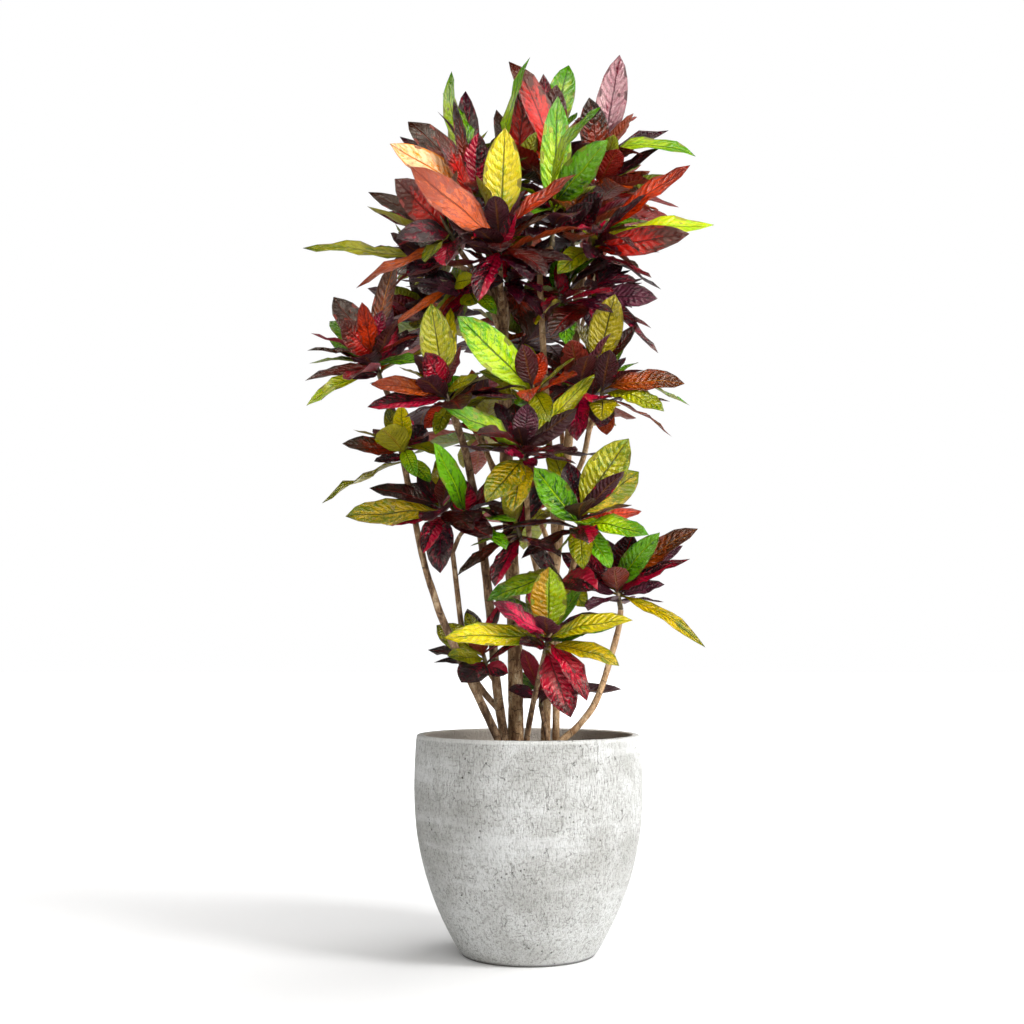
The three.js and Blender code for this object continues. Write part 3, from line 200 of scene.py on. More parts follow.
# %% Each cane: its branches, with the shoot that each carries, its radii from foot to end, and its route
CANES = {
  "cane_left": [
    ["left_high", 8, 5, [[-40, -66, 340], [-54, -62, 379], [-141, -60, 562], [-166, -60, 627],
      [-190, -60, 710], [-239, -64, 948], [-262, -70, 1009]]],
    ["left_side", 4.5, 4, [[-217, -60, 839], [-209, -75, 859]]],
  ],
  "cane_twin": [
    ["left_inner", 9, 6.5, [[-37, -29, 337], [-55, -26, 460], [-70, -18, 620], [-88, -22, 764],
      [-101, -34, 830], [-112, -60, 886], [-134, -99, 951]]],
    ["left_mid", 6, 4.5, [[-48, -27, 421], [-90, -10, 470], [-110, -5, 522], [-121, -5, 581],
      [-137, -22, 713], [-147, -70, 756]]],
    ["left_twig", 4, 3.5, [[-135, -20, 706], [-123, -40, 732], [-113, -60, 741]]],
    ["low_left", 4, 3.5, [[-57, -25, 470], [-72, -40, 494]]],
  ],
  "trunk": [
    ["trunk_head", 16, 9, [[-22, 0, 335], [-25, 0, 584], [-42, 10, 933], [-46, -5, 1154],
      [-41, -28, 1184]]],
    ["crown_front", 7, 5, [[-46, -4, 1139], [-49, -35, 1174], [-49, -88, 1208]]],
    ["crown_far_left", 7, 4.5, [[-46, 0, 1118], [-69, -12, 1177], [-124, -68, 1251]]],
    ["crown_reach", 4.5, 4, [[-94, -36, 1214], [-126, -52, 1224], [-155, -54, 1231]]],
    ["crown_upper_left", 7, 5, [[-44, 0, 1127], [-61, 10, 1215], [-81, 12, 1292]]],
    ["under_left", 4.5, 4, [[-46, 2, 1090], [-65, -18, 1147], [-87, -38, 1176]]],
    ["crown_back_left", 7, 5, [[-44, 4, 1090], [-67, 55, 1198], [-102, 118, 1320]]],
    ["crown_centre", 7, 5, [[-44, 2, 1109], [-31, 36, 1203], [-14, 58, 1300]]],
    ["crown_top", 6, 4.5, [[-29, 40, 1213], [31, 52, 1366]]],
    ["back_middle", 6, 5, [[-40, 10, 914], [-34, 80, 1011], [-17, 148, 1107]]],
    ["back_low_left", 6, 5, [[-36, 8, 785], [-86, 136, 928]]],
    ["back_left", 5, 4, [[-64, 88, 873], [-131, 125, 1010], [-183, 122, 1141]]],
  ],
  "cane_low": [
    ["low_front", 6, 4.5, [[-4, -42, 338], [-2, -46, 378], [10, -65, 444], [29, -113, 525]]],
  ],
  "cane_stub": [
    ["low_back", 5, 4, [[37, -22, 337], [33, -20, 377], [23, -3, 429]]],
  ],
  "cane_second": [
    ["crown_far_right", 9, 7, [[30, 30, 333], [42, 25, 585], [82, 15, 989], [91, 5, 1169],
      [100, -4, 1220], [107, -18, 1246]]],
    ["crown_core", 6, 5, [[91, 6, 1156], [83, -20, 1255]]],
    ["crown_right", 5, 4.5, [[97, 0, 1200], [115, 34, 1278], [122, 42, 1343]]],
    ["crown_back_right", 6, 5, [[89, 8, 1129], [107, 70, 1240], [135, 122, 1350]]],
    ["crown_mid", 6.5, 5, [[51, 22, 694], [45, -12, 801], [35, -42, 952], [22, -50, 1213],
      [33, -50, 1246], [44, -50, 1259]]],
    ["centre", 5.5, 4.5, [[42, 25, 600], [25, -20, 647], [12, -45, 686], [2, -62, 733], [-5, -124, 848]]],
    ["centre_small", 4, 3.5, [[4, -60, 725], [-11, -62, 724]]],
    ["bright", 4, 3.5, [[35, -42, 946], [25, -70, 960], [18, -94, 964]]],
    ["right_high", 5.5, 4.5, [[64, 20, 810], [98, -15, 870], [112, -40, 930], [129, -60, 959]]],
    ["right_inner", 4, 3.5, [[110, -38, 923], [97, -50, 972]]],
    ["under_mid", 4, 3.5, [[83, 13, 1017], [73, -22, 1084], [64, -39, 1149]]],
    ["under_right", 4, 3.5, [[89, 10, 1091], [107, -25, 1147]]],
    ["striped", 4.5, 4, [[81, 15, 974], [116, -38, 1003]]],
    ["back_right", 5.5, 4.5, [[70, 19, 851], [64, 133, 960]]],
    ["back_low", 5.5, 4.5, [[49, 23, 676], [36, 75, 735], [25, 124, 770]]],
  ],
  "cane_mid": [
    ["right_mid", 7, 5, [[49, -10, 336], [52, -20, 539], [59, -30, 598], [85, -62, 698], [93, -78, 730]]],
    ["mid_twig", 3.5, 3, [[69, -43, 638], [62, -60, 647]]],
  ],
  "cane_right": [
    ["right_low", 6.5, 5, [[34, -64, 343], [89, -57, 400], [123, -53, 450], [157, -50, 557],
      [164, -50, 601]]],
  ],
}

# %% The shoots: where each tip is, and how many leaves grow on it by the rule
SHOOTS = {
  "crown_far_left": [[-146, -88, 1287], 10],
  "crown_reach": [[-188, -60, 1237], 4],
  "crown_upper_left": [[-115, 4, 1431], 10],
  "crown_front": [[-51, -102, 1279], 9],
  "crown_back_left": [[-117, 130, 1388], 14],
  "crown_centre": [[-26, 52, 1460], 12],
  "crown_top": [[45, 50, 1506], 12],
  "crown_mid": [[48, -58, 1359], 7],
  "crown_core": [[84, -25, 1314], 7],
  "crown_right": [[145, 40, 1482], 11],
  "crown_back_right": [[150, 135, 1425], 14],
  "crown_far_right": [[136, -38, 1294], 7],
  "under_left": [[-137, -52, 1191], 5],
  "trunk_head": [[-32, -42, 1215], 9],
  "under_mid": [[55, -50, 1176], 5],
  "under_right": [[117, -40, 1189], 5],
  "striped": [[126, -52, 1050], 5],
  "left_high": [[-280, -90, 1068], 11],
  "left_inner": [[-149, -112, 992], 10],
  "left_side": [[-223, -82, 893], 5],
  "left_mid": [[-155, -82, 790], 8],
  "left_twig": [[-110, -68, 774], 5],
  "centre": [[-8, -138, 886], 9],
  "centre_small": [[-21, -70, 749], 5],
  "bright": [[7, -110, 992], 4],
  "right_high": [[134, -72, 999], 8],
  "right_inner": [[90, -58, 1015], 8],
  "right_mid": [[86, -95, 780], 10],
  "right_low": [[154, -60, 657], 9],
  "low_front": [[36, -130, 561], 8],
  "low_left": [[-80, -52, 528], 5],
  "low_back": [[23, 5, 459], 4],
  "mid_twig": [[49, -72, 667], 3],
  "back_left": [[-202, 135, 1199], 13],
  "back_middle": [[-11, 165, 1166], 13],
  "back_right": [[72, 150, 1014], 12],
  "back_low_left": [[-101, 155, 980], 12],
  "back_low": [[19, 142, 818], 12],
}

# %% The leaves seen best, by shoot: colour, height on it, tip, facing, arch in degrees and width
LEAVES = {
  "low_front": [
    ["gold", 0.55, [-140, -200, 550], "high", 30, 50],
    ["crimson", 0.1, [70, -205, 420], "front", 18, 56],
    ["limegold", 0.8, [35, -175, 670], "front", 16, 60],
    ["gold", 0.6, [175, -180, 580], "high", 45, 46],
    ["pink", 0.75, [-60, -185, 610], "high", 22, 46],
    ["crimson", 0.3, [-25, -150, 560], "front", 20, 22],
    ["plum", 0.2, [-15, -165, 540], "high", 30, 40],
    ["green", 0.4, [110, -70, 570], "high", 30, 34],
  ],
  "mid_twig": [
    ["lime", 0.6, [-70, -120, 615], "high", 38, 48],
    ["olive", 0.3, [100, -85, 605], "high", 45, 44],
    ["plum", 0.8, [0, -95, 710], "high", 20, 44],
  ],
  "right_mid": [
    ["olive", 0.8, [175, -130, 895], "front", 14, 68],
    ["goldgreen", 0.6, [200, -30, 850], "front", 20, 60],
    ["wine", 0.7, [165, -135, 835], "edge", 12, 36],
    ["lime", 0.3, [205, -160, 725], "high", 38, 44],
    ["plum", 0.5, [180, -105, 780], "up", 25, 40],
    ["green", 0.25, [10, -165, 840], "front", 14, 54],
    ["plum", 0.85, [70, -105, 860], "front", 16, 44],
    ["olive", 0.6, [35, -60, 900], "front", 25, 46],
    ["maroon", 0.55, [60, -150, 780], "front", 20, 38],
    ["lime", 0.15, [50, -140, 690], "left", 30, 16],
    ["crimson", 0.1, [130, -100, 660], "front", 25, 36],
    ["coral", 0.4, [205, -20, 780], "high", 20, 40],
  ],
  "right_low": [
    ["rust", 0.9, [295, -110, 740], "high", 28, 52],
    ["mauve", 0.8, [275, -50, 715], "high", 18, 40],
    ["crimson", 0.6, [285, -85, 690], "high", 18, 32],
    ["wine", 0.5, [250, -120, 680], "high", 22, 36],
    ["green", 0.7, [225, -150, 730], "front", 60, 42],
    ["maroon", 0.85, [180, -115, 730], "front", 14, 52],
    ["plum", 0.7, [140, -60, 725], "front", 20, 40],
    ["goldgreen", 0.4, [305, -110, 535], "high", 42, 26],
    ["mauve", 0.3, [240, -110, 645], "high", 40, 44],
    ["plum", 0.2, [240, -50, 615], "up", 25, 20],
    ["plum", 0.55, [60, -30, 705], "high", 20, 50],
    ["mauve", 0.4, [75, -75, 650], "high", 15, 36],
  ],
  "right_high": [
    ["rust", 0.8, [275, -110, 995], "high", 48, 52],
    ["olive", 0.6, [235, -150, 940], "high", 55, 48],
    ["rust", 0.4, [250, -120, 900], "up", 38, 30],
    ["lime", 0.9, [170, -100, 1060], "left", 14, 26],
    ["green", 0.85, [205, 20, 1060], "up", 40, 30],
    ["plum", 0.2, [125, -130, 915], "front", 40, 48],
    ["orange", 0.1, [140, -20, 910], "front", 40, 44],
  ],
  "right_inner": [
    ["plum", 0.3, [60, -40, 925], "front", 30, 44],
    ["pink", 0.4, [75, -75, 935], "front", 30, 36],
    ["maroon", 0.7, [115, -50, 1055], "front", 14, 38],
  ],
  "striped": [
    ["stripe", 0.7, [155, -95, 1160], "front", 14, 58],
    ["maroon", 0.4, [195, -90, 1105], "high", 16, 40],
    ["mauve", 0.6, [180, -20, 1090], "high", 25, 34],
    ["rust", 0.2, [140, -85, 1085], "front", 20, 36],
    ["maroon", 0.3, [115, -90, 980], "front", 40, 32],
  ],
  "under_right": [
    ["mauve", 0.6, [230, -100, 1150], "front", 15, 48],
    ["plum", 0.8, [195, -90, 1185], "high", 60, 34],
    ["maroon", 0.3, [200, -50, 1120], "high", 20, 34],
    ["plum", 0.5, [130, -90, 1095], "front", 40, 44],
  ],
  "crown_far_right": [
    ["coral", 0.75, [290, -110, 1390], "high", 20, 50],
    ["pale", 0.6, [335, -80, 1290], "high", 22, 48],
    ["red", 0.2, [285, -120, 1260], "front", 14, 50],
    ["maroon", 0.4, [195, -150, 1220], "up", 62, 34],
    ["green", 0.85, [230, -20, 1320], "high", 75, 48],
    ["plum", 0.5, [210, -50, 1335], "high", 25, 38],
    ["gold", 0.3, [205, -40, 1295], "high", 30, 40],
  ],
  "crown_right": [
    # this top leaf's pale blush is a painted highlight
    ["blush", 0.8, [175, 25, 1655], "front", 20, 56],
    ["rust", 0.5, [165, 55, 1630], "edge", -28, 30],
    ["brown", 0.6, [115, -15, 1555], "front", 14, 54],
    ["lime", 0.75, [310, -30, 1435], "high", 80, 50],
    ["plum", 0.6, [270, 60, 1520], "high", 50, 40],
    ["plum", 0.35, [245, -50, 1455], "high", 16, 50],
    ["brown", 0.3, [215, 40, 1395], "high", 30, 40],
  ],
  "crown_top": [
    ["red", 0.5, [-35, -5, 1630], "high", 85, 56],
    ["red", 0.6, [55, -10, 1585], "front", 30, 56],
    ["lime", 0.8, [80, 70, 1655], "front", 50, 52],
    ["crimson", 0.7, [30, 30, 1610], "front", 20, 40],
    ["coral", 0.4, [10, 50, 1570], "front", 20, 40],
  ],
  "crown_centre": [
    ["red", 0.7, [0, 10, 1610], "front", 18, 58],
    ["lime", 0.8, [5, -25, 1600], "left", 62, 30],
    ["brown", 0.5, [-60, 30, 1570], "front", 20, 50],
    ["plum", 0.6, [-55, 100, 1580], "front", 20, 44],
  ],
  "crown_mid": [
    ["lime", 0.4, [55, -95, 1525], "front", 12, 54],
    ["green", 0.7, [140, -125, 1415], "front", 30, 70],
    ["lime", 0.9, [130, -75, 1475], "high", 80, 44],
    ["plum", 0.1, [115, -115, 1320], "front", 14, 42],
    ["rust", 0.8, [35, -90, 1375], "front", 20, 34],
  ],
  "crown_core": [
    ["rust", 0.7, [95, -60, 1435], "front", 20, 44],
    ["plum", 0.5, [135, -95, 1350], "front", 20, 44],
  ],
  "crown_front": [
    ["orange", 0.6, [-205, -165, 1370], "front", 12, 62],
    ["gold", 0.8, [-40, -150, 1445], "front", -14, 66],
    ["coral", 0.85, [85, -150, 1360], "high", 22, 46],
    ["rust", 0.5, [40, -165, 1285], "high", 20, 30],
    ["maroon", 0.1, [-145, -135, 1300], "under", 30, 40],
    ["maroon", 0.2, [80, -150, 1205], "high", 28, 42],
    ["wine", 0.3, [-60, -190, 1220], "front", 20, 34],
    ["wine", 0.4, [-20, -170, 1285], "front", 14, 30],
  ],
  "crown_upper_left": [
    ["peach", 0.55, [-250, -75, 1445], "front", 16, 58],
    ["brown", 0.8, [-225, 10, 1520], "front", 35, 56],
    ["plum", 0.6, [-245, 60, 1510], "high", 25, 50],
    ["lime", 0.9, [-145, 20, 1630], "left", 42, 38],
    ["green", 0.85, [-165, 50, 1600], "up", 65, 34],
    ["plum", 0.75, [-120, 60, 1610], "front", 20, 46],
    ["wine", 0.5, [-90, -50, 1475], "front", 14, 48],
    ["plum", 0.7, [-165, -20, 1515], "up", 55, 30],
    ["red", 0.4, [-170, -25, 1480], "front", 20, 34],
    ["red", 0.6, [-105, -70, 1470], "edge", 10, 26],
    ["brown", 0.65, [-135, 15, 1530], "front", 25, 28],
  ],
  "crown_far_left": [
    ["red", 0.7, [-235, -130, 1360], "front", 14, 62],
    ["brown", 0.5, [-290, -60, 1360], "high", 20, 46],
    ["olive", 0.6, [-285, -110, 1315], "up", -12, 30],
    ["crimson", 0.4, [-280, -20, 1335], "high", 15, 38],
    ["plum", 0.45, [-230, -150, 1245], "front", 80, 46],
    ["orange", 0.2, [-300, -140, 1160], "high", 26, 28],
    ["lime", 0.75, [-180, -150, 1180], "left", 22, 28],
  ],
  "crown_reach": [
    ["olive", 0.6, [-405, -80, 1250], "high", 20, 42],
    ["rust", 0.8, [-285, -20, 1270], "high", 15, 28],
    ["plum", 0.3, [-210, -120, 1185], "front", 25, 46],
  ],
  "under_left": [
    ["mauve", 0.5, [-160, -100, 1165], "front", 20, 38],
    ["orange", 0.8, [-235, -110, 1100], "high", 22, 24],
    ["maroon", 0.7, [-235, -30, 1205], "up", 10, 24],
    ["plum", 0.6, [-220, -80, 1180], "up", 12, 16],
    ["lime", 0.2, [-55, -110, 1120], "high", 30, 28],
    ["olive", 0.3, [-90, -100, 1140], "front", 30, 50],
  ],
  "trunk_head": [
    ["crimson", 0.7, [-70, -110, 1230], "front", 20, 46],
    ["maroon", 0.5, [60, -80, 1230], "high", 20, 34],
    ["plum", 0.3, [-15, -90, 1120], "front", 40, 46],
    ["green", 0.2, [-45, -100, 1095], "high", 50, 44],
  ],
  "under_mid": [
    ["green", 0.7, [5, -90, 1165], "up", 60, 36],
    ["gold", 0.4, [15, -90, 1100], "left", 40, 40],
    ["green", 0.3, [70, -100, 1065], "high", 50, 40],
    ["crimson", 0.8, [70, -90, 1195], "front", 10, 28],
  ],
  "left_high": [
    ["brown", 0.8, [-345, -100, 1155], "high", 20, 58],
    ["lime", 0.6, [-360, -60, 1125], "front", 45, 46],
    ["red", 0.65, [-325, -145, 1100], "front", 18, 52],
    ["coral", 0.7, [-280, -140, 1115], "front", 16, 42],
    ["pink", 0.75, [-255, -130, 1125], "front", 12, 34],
    ["mauve", 0.85, [-245, -115, 1150], "front", 12, 36],
    ["rust", 0.9, [-235, -70, 1225], "front", 10, 40],
    ["olive", 0.95, [-270, -40, 1220], "left", 16, 28],
    ["orange", 0.7, [-305, -60, 1165], "high", 30, 28],
    ["crimson", 0.5, [-235, -50, 1115], "front", 16, 30],
    ["plum", 0.4, [-200, -30, 1105], "high", 20, 34],
    ["maroon", 0.3, [-390, -120, 1000], "high", 34, 34],
    ["pale", 0.2, [-400, -40, 970], "high", 42, 34],
    ["green", 0.45, [-180, -140, 1030], "high", 20, 44],
    ["plum", 0.1, [-305, -130, 1000], "high", 25, 28],
    ["green", 0.5, [-360, -40, 1090], "high", 20, 30],
  ],
  "left_inner": [
    ["olive", 0.8, [-170, -130, 1135], "front", 12, 58],
    ["gold", 0.85, [-140, -90, 1150], "front", 20, 34],
    ["orange", 0.6, [-270, -160, 985], "high", 26, 50],
    ["crimson", 0.7, [-175, -190, 1035], "front", 25, 46],
    ["crimson", 0.9, [-115, -150, 1055], "edge", 15, 24],
    ["wine", 0.4, [-275, -165, 945], "high", 20, 48],
    ["plum", 0.5, [-280, -90, 1000], "high", 20, 34],
    ["plum", 0.2, [-210, -175, 925], "up", 20, 24],
    ["coral", 0.15, [-180, -120, 915], "front", 30, 34],
    ["olive", 0.1, [-155, -160, 890], "front", 20, 34],
    ["green", 0.6, [-120, -150, 1010], "front", 40, 34],
    ["olive", 0.7, [-85, -130, 995], "front", 20, 28],
  ],
  "left_side": [
    ["brown", 0.6, [-325, -110, 890], "high", 20, 54],
    ["plum", 0.3, [-270, -100, 860], "high", 16, 32],
    ["olive", 0.8, [-250, -70, 960], "front", 16, 38],
    ["gold", 0.7, [-220, -110, 955], "front", 14, 36],
    ["plum", 0.5, [-185, -80, 930], "front", 14, 52],
    ["lime", 0.2, [-170, -120, 820], "high", 30, 34],
  ],
  "left_mid": [
    ["goldgreen", 0.5, [-315, -130, 760], "high", 18, 60],
    ["maroon", 0.7, [-280, -40, 815], "high", 35, 46],
    ["wine", 0.3, [-245, -150, 745], "high", 14, 30],
    ["wine", 0.2, [-180, -140, 695], "high", 70, 34],
    ["plum", 0.8, [-195, -90, 835], "high", 16, 40],
  ],
  "left_twig": [
    ["crimson", 0.5, [-115, -105, 830], "front", 14, 44],
    ["green", 0.8, [-155, -160, 870], "front", 20, 56],
    ["green", 0.4, [-135, -60, 820], "front", 40, 36],
  ],
  "centre": [
    ["lime", 0.7, [-145, -205, 940], "high", 25, 60],
    ["maroon", 0.6, [-85, -230, 885], "high", 52, 46],
    ["plum", 0.3, [-125, -215, 870], "up", 16, 36],
    ["pink", 0.4, [-40, -205, 860], "front", 20, 26],
    ["mauve", 0.85, [0, -170, 950], "front", 20, 44],
    ["plum", 0.7, [85, -150, 945], "under", 16, 44],
    ["olive", 0.8, [120, -150, 1015], "edge", -18, 38],
    ["goldgreen", 0.2, [-70, -215, 775], "front", 40, 54],
    ["goldgreen", 0.1, [-25, -215, 760], "front", 36, 56],
    ["pink", 0.15, [15, -165, 840], "front", 20, 24],
  ],
  "centre_small": [
    ["green", 0.6, [-100, -110, 710], "up", 20, 30],
    ["plum", 0.4, [-85, -60, 725], "up", 14, 34],
    ["plum", 0.2, [55, -100, 685], "high", 20, 56],
    ["plum", 0.85, [30, -90, 830], "front", 12, 38],
    ["olive", 0.6, [45, -40, 790], "front", 20, 44],
  ],
  "bright": [
    ["lime", 0.6, [-120, -200, 1095], "front", 16, 64],
    ["coral", 0.9, [25, -100, 1055], "front", 14, 36],
    ["olive", 0.4, [-85, -125, 1015], "high", 30, 40],
  ],
  "low_left": [
    ["olive", 0.7, [-165, 20, 575], "high", 25, 54],
    ["olive", 0.5, [-140, -80, 520], "high", 30, 40],
    ["plum", 0.4, [-115, -90, 475], "high", 25, 54],
    ["wine", 0.2, [-35, -75, 490], "front", 25, 30],
    ["maroon", 0.9, [-110, 25, 605], "high", 20, 34],
  ],
  "low_back": [
    ["plum", 0.5, [-35, -50, 460], "high", 30, 38],
    ["green", 0.8, [-10, 45, 490], "high", 30, 34],
  ],
}
PLACED = [(name, row) for name, rows in LEAVES.items() for row in rows]
print(len(CANES), "canes,", len(SHOOTS), "shoots and", len(PLACED), "placed leaves")

# %% [markdown]
# ## Growing the leaves
# A leaf takes the first place that is free of the canes and of the leaves before it, so none runs through
# another. The finer leaves have to stand exactly where the plain model's leaves are. They could be read off
# its mesh, but that has no midribs or ends marked. So the rule that grew them is worked through again, with
# the same draws.
#
# A leaf starts as two ends. The straight line between them bends into an arc, and the upper side turns
# towards a facing.

# %% What shapes a leaf, and how far chance may go
TWIST = (-14, 14)
RIPPLE_SHARE = 0.022
RIPPLE_CHANCE = (0.5, 1.3)
WAVES = (1.2, 2.1)
STALK_SHARE = 0.1
STALK_HALF_WIDTH = 2
BASE_POWER = 0.75
TIP_POWER = 0.85
MIDRIB = 1.3
STALK_EXTRA = 1.7
KEEL_SHARE = 0.1
STATIONS = (0.34, 0.66)
OUTSIDE_SHOOT = 0.06
NEAR_TIP = 0.95
SEED_STEP = 2654435761
DRAW_STEP = 1664525
DRAW_SHIFT = 1013904223

FACINGS = {
    "front": (0, -1, 0.25),
    "high": (0, -0.75, 0.7),
    "up": (0, -0.15, 1),
    "left": (-1, -0.45, 0.2),
    "edge": (0.5, -0.35, 0.6),
    "under": (0, 0.75, -0.7),
}


def mix(low, high, share):
    return low + (high - low) * share


def unit(vector):
    vector = np.asarray(vector, float)
    return vector / math.sqrt((vector ** 2).sum())


def seeded(seed):
    """The same draws every time for the same seed, each from 0 to 1."""
    most = 2 ** 32
    state = (seed + 1) * SEED_STEP % most

    def draw():
        nonlocal state
        state = (state * DRAW_STEP + DRAW_SHIFT) % most
        return state / most

    draw()
    draw()
    return draw


def leaf_between(root, tip, facing, arch, width, draw):
    """A leaf's measures, in millimetres."""
    chord = tip - root
    length = math.sqrt((chord ** 2).sum())
    ahead = chord / length
    up = unit(facing - ahead * (facing @ ahead))
    bend = math.radians(arch if abs(arch) >= 1 else 1)
    heading = ahead * math.cos(bend / 2) + up * math.sin(bend / 2)
    normal = up * math.cos(bend / 2) - ahead * math.sin(bend / 2)
    return dict(
        root=root,
        heading=heading,
        normal=normal,
        side=np.cross(heading, normal),
        arch=bend,
        length=bend * length / (2 * math.sin(bend / 2)),
        width=width,
        twist=math.radians(mix(*TWIST, draw())),
        ripple=RIPPLE_SHARE * length * mix(*RIPPLE_CHANCE, draw()),
        waves=mix(*WAVES, draw()),
        phase=2 * math.pi * draw(),
    )


# %% Points of a leaf
def outline(x, base_power=BASE_POWER, tip_power=TIP_POWER):
    """The blade's width, as a share of the widest, where x goes from 0 at its foot to 1 at its tip."""
    widest = base_power / (base_power + tip_power)
    return (x / widest) ** base_power * ((1 - x) / (1 - widest)) ** tip_power


def leaf_point(leaf, t, across, depth, spare=0.0):
    """t runs from root to tip, across from -1 to 1. depth is 1 at the keel, spare is free space round it."""
    angle = leaf["arch"] * t
    x = max(0.0, (t - STALK_SHARE) / (1 - STALK_SHARE))
    along = leaf["heading"] * math.cos(angle) - leaf["normal"] * math.sin(angle)
    up = leaf["heading"] * math.sin(angle) + leaf["normal"] * math.cos(angle)
    side = leaf["side"] * math.cos(leaf["twist"] * t) + up * math.sin(leaf["twist"] * t)
    over = np.cross(side, along)
    half = STALK_HALF_WIDTH * (1 - x) + (leaf["width"] / 2 - STALK_HALF_WIDTH) * outline(x)
    wave = leaf["ripple"] * outline(x) * math.sin(2 * math.pi * leaf["waves"] * x + leaf["phase"])
    keel = KEEL_SHARE * half + MIDRIB + STALK_EXTRA * (1 - t) ** 2
    above = -keel - spare if depth else (1 - abs(across)) * spare
    return (
        leaf["root"]
        + leaf["heading"] * (leaf["length"] * math.sin(angle) / leaf["arch"])
        - leaf["normal"] * (leaf["length"] * (1 - math.cos(angle)) / leaf["arch"])
        + side * (across * (half + spare))
        + over * (wave + above)
    )


CORNERS = ((-1, 0), (0, 1), (1, 0), (0, 0))
LEAF_CLEARANCE = 2.6


def blade_points(leaf, start, corners, spare=0.0):
    points = [leaf_point(leaf, start, 0, 0, spare), leaf_point(leaf, start, 0, 1, spare)]
    for t in STATIONS:
        points += [leaf_point(leaf, t, across, depth, spare) for across, depth in CORNERS[:corners]]
    tip = leaf_point(leaf, 1, 0, 0)
    before = leaf_point(leaf, NEAR_TIP, 0, 0)
    return np.array(points + [tip + unit(tip - before) * spare])


def blade_triangles(corners):
    top, bottom, first = 0, 1, 2
    tip = first + corners * len(STATIONS)
    triangles = [(top, first, bottom), (bottom, first, first + 1), (bottom, first + 1, first + 2)]
    triangles.append((bottom, first + 2, top))
    triangles += [(top, first + k, first + (k + 1) % corners) for k in range(2, corners)]
    for ring in range(first, tip - corners, corners):
        for k in range(corners):
            here, after = ring + k, ring + (k + 1) % corners
            triangles += [(here, after + corners, after), (here, here + corners, after + corners)]
    last = tip - corners
    return triangles + [(tip, last + (k + 1) % corners, last + k) for k in range(corners)]


# %% What crosses what: an edge of one body through a triangle of the other
class Body:
    """A closed mesh as its edges, its triangles and its box."""

    def __init__(self, points, triangles):
        pairs = {tuple(sorted((t[k], t[(k + 1) % 3]))) for t in triangles for k in range(3)}
        self.edges = points[np.array(sorted(pairs))]
        self.triangles = points[np.array(triangles)]
        self.low = points.min(0)
        self.high = points.max(0)


def pierce(edges, triangles):
    """True if any edge runs through any triangle."""
    start = edges[:, None, 0]
    way = edges[:, None, 1] - start
    corner = triangles[None, :, 0]
    ab = triangles[None, :, 1] - corner
    ac = triangles[None, :, 2] - corner
    p = np.cross(way, ac)
    det = (ab * p).sum(-1)
    with np.errstate(divide="ignore", invalid="ignore"):
        s = start - corner
        q = np.cross(s, ab)
        u = (s * p).sum(-1) / det
        v = (way * q).sum(-1) / det
        t = (ac * q).sum(-1) / det
    return bool(((u >= 0) & (u <= 1) & (v >= 0) & (u + v <= 1) & (t >= 0) & (t <= 1)).any())


class Taken:
    """The space that is taken so far, by owner."""

    def __init__(self):
        self.owners, self.bodies, self.lows, self.highs = [], [], [], []

    def put(self, owner, body):
        self.owners.append(owner)
        self.bodies.append(body)
        self.lows.append(body.low)
        self.highs.append(body.high)

    def crosses(self, body, counts):
        """True if the body crosses one whose owner counts."""
        if not self.bodies:
            return False
        near = (np.array(self.lows) <= body.high).all(1) & (np.array(self.highs) >= body.low).all(1)
        found = [self.bodies[i] for i in np.flatnonzero(near) if counts(self.owners[i])]
        if not found:
            return False
        triangles = np.concatenate([other.triangles for other in found])
        edges = np.concatenate([other.edges for other in found])
        return pierce(body.edges, triangles) or pierce(edges, body.triangles)


# %% Canes and shoots as paths, and the space round them
TUBE_START = (1, 0.2, 0)
SPACE_SIDES = 8
CANE_CLEARANCE = 3


def tube(path, from_radius, to_radius, sides):
    """A round, tapered tube along straight lines, as points and triangles."""
    points, triangles = [], []
    across = np.array(TUBE_START, float)
    for i, place in enumerate(path):
        along = unit(path[min(i + 1, len(path) - 1)] - path[max(i - 1, 0)])
        across = unit(across - along * (across @ along))
        third = np.cross(along, across)
        radius = mix(from_radius, to_radius, i / (len(path) - 1))
        for k in range(sides):
            turn = 2 * math.pi * k / sides
            points.append(place + across * (radius * math.cos(turn)) + third * (radius * math.sin(turn)))
    for i in range(len(path) - 1):
        for k in range(sides):
            a, b = i * sides + k, i * sides + (k + 1) % sides
            triangles += [(a, b, b + sides), (a, b + sides, a + sides)]
    last = (len(path) - 1) * sides
    for k in range(1, sides - 1):
        triangles += [(0, k + 1, k), (last, last + k, last + k + 1)]
    return np.array(points), triangles


def cane_branches(name):
    """The branches of a cane, the first with the foot that stands in the soil."""
    branches = []
    for shoot, from_radius, to_radius, route in CANES[name]:
        path = [np.array(place, float) for place in route]
        if not branches:
            path.insert(0, np.array([path[0][0], path[0][1], SOIL["top"] - CANE_FOOT_DEPTH]))
        branches.append((shoot, from_radius, to_radius, path))
    return branches


def shoot_line(name):
    """A shoot runs straight from the end of its cane to its own tip, and ends in a bud."""
    routes = {shoot: path for cane in CANES for shoot, _, _, path in cane_branches(cane)}
    before, end = routes[name][-2:]
    tip = np.array(SHOOTS[name][0], float)
    start = end + unit(end - before) * GAP
    return dict(start=start, tip=tip, bud=tip + unit(tip - start) * BUD_LENGTH)


def root_on(shoot, height):
    return shoot["start"] + (shoot["tip"] - shoot["start"]) * mix(FOOT_SHARE, 1, height)


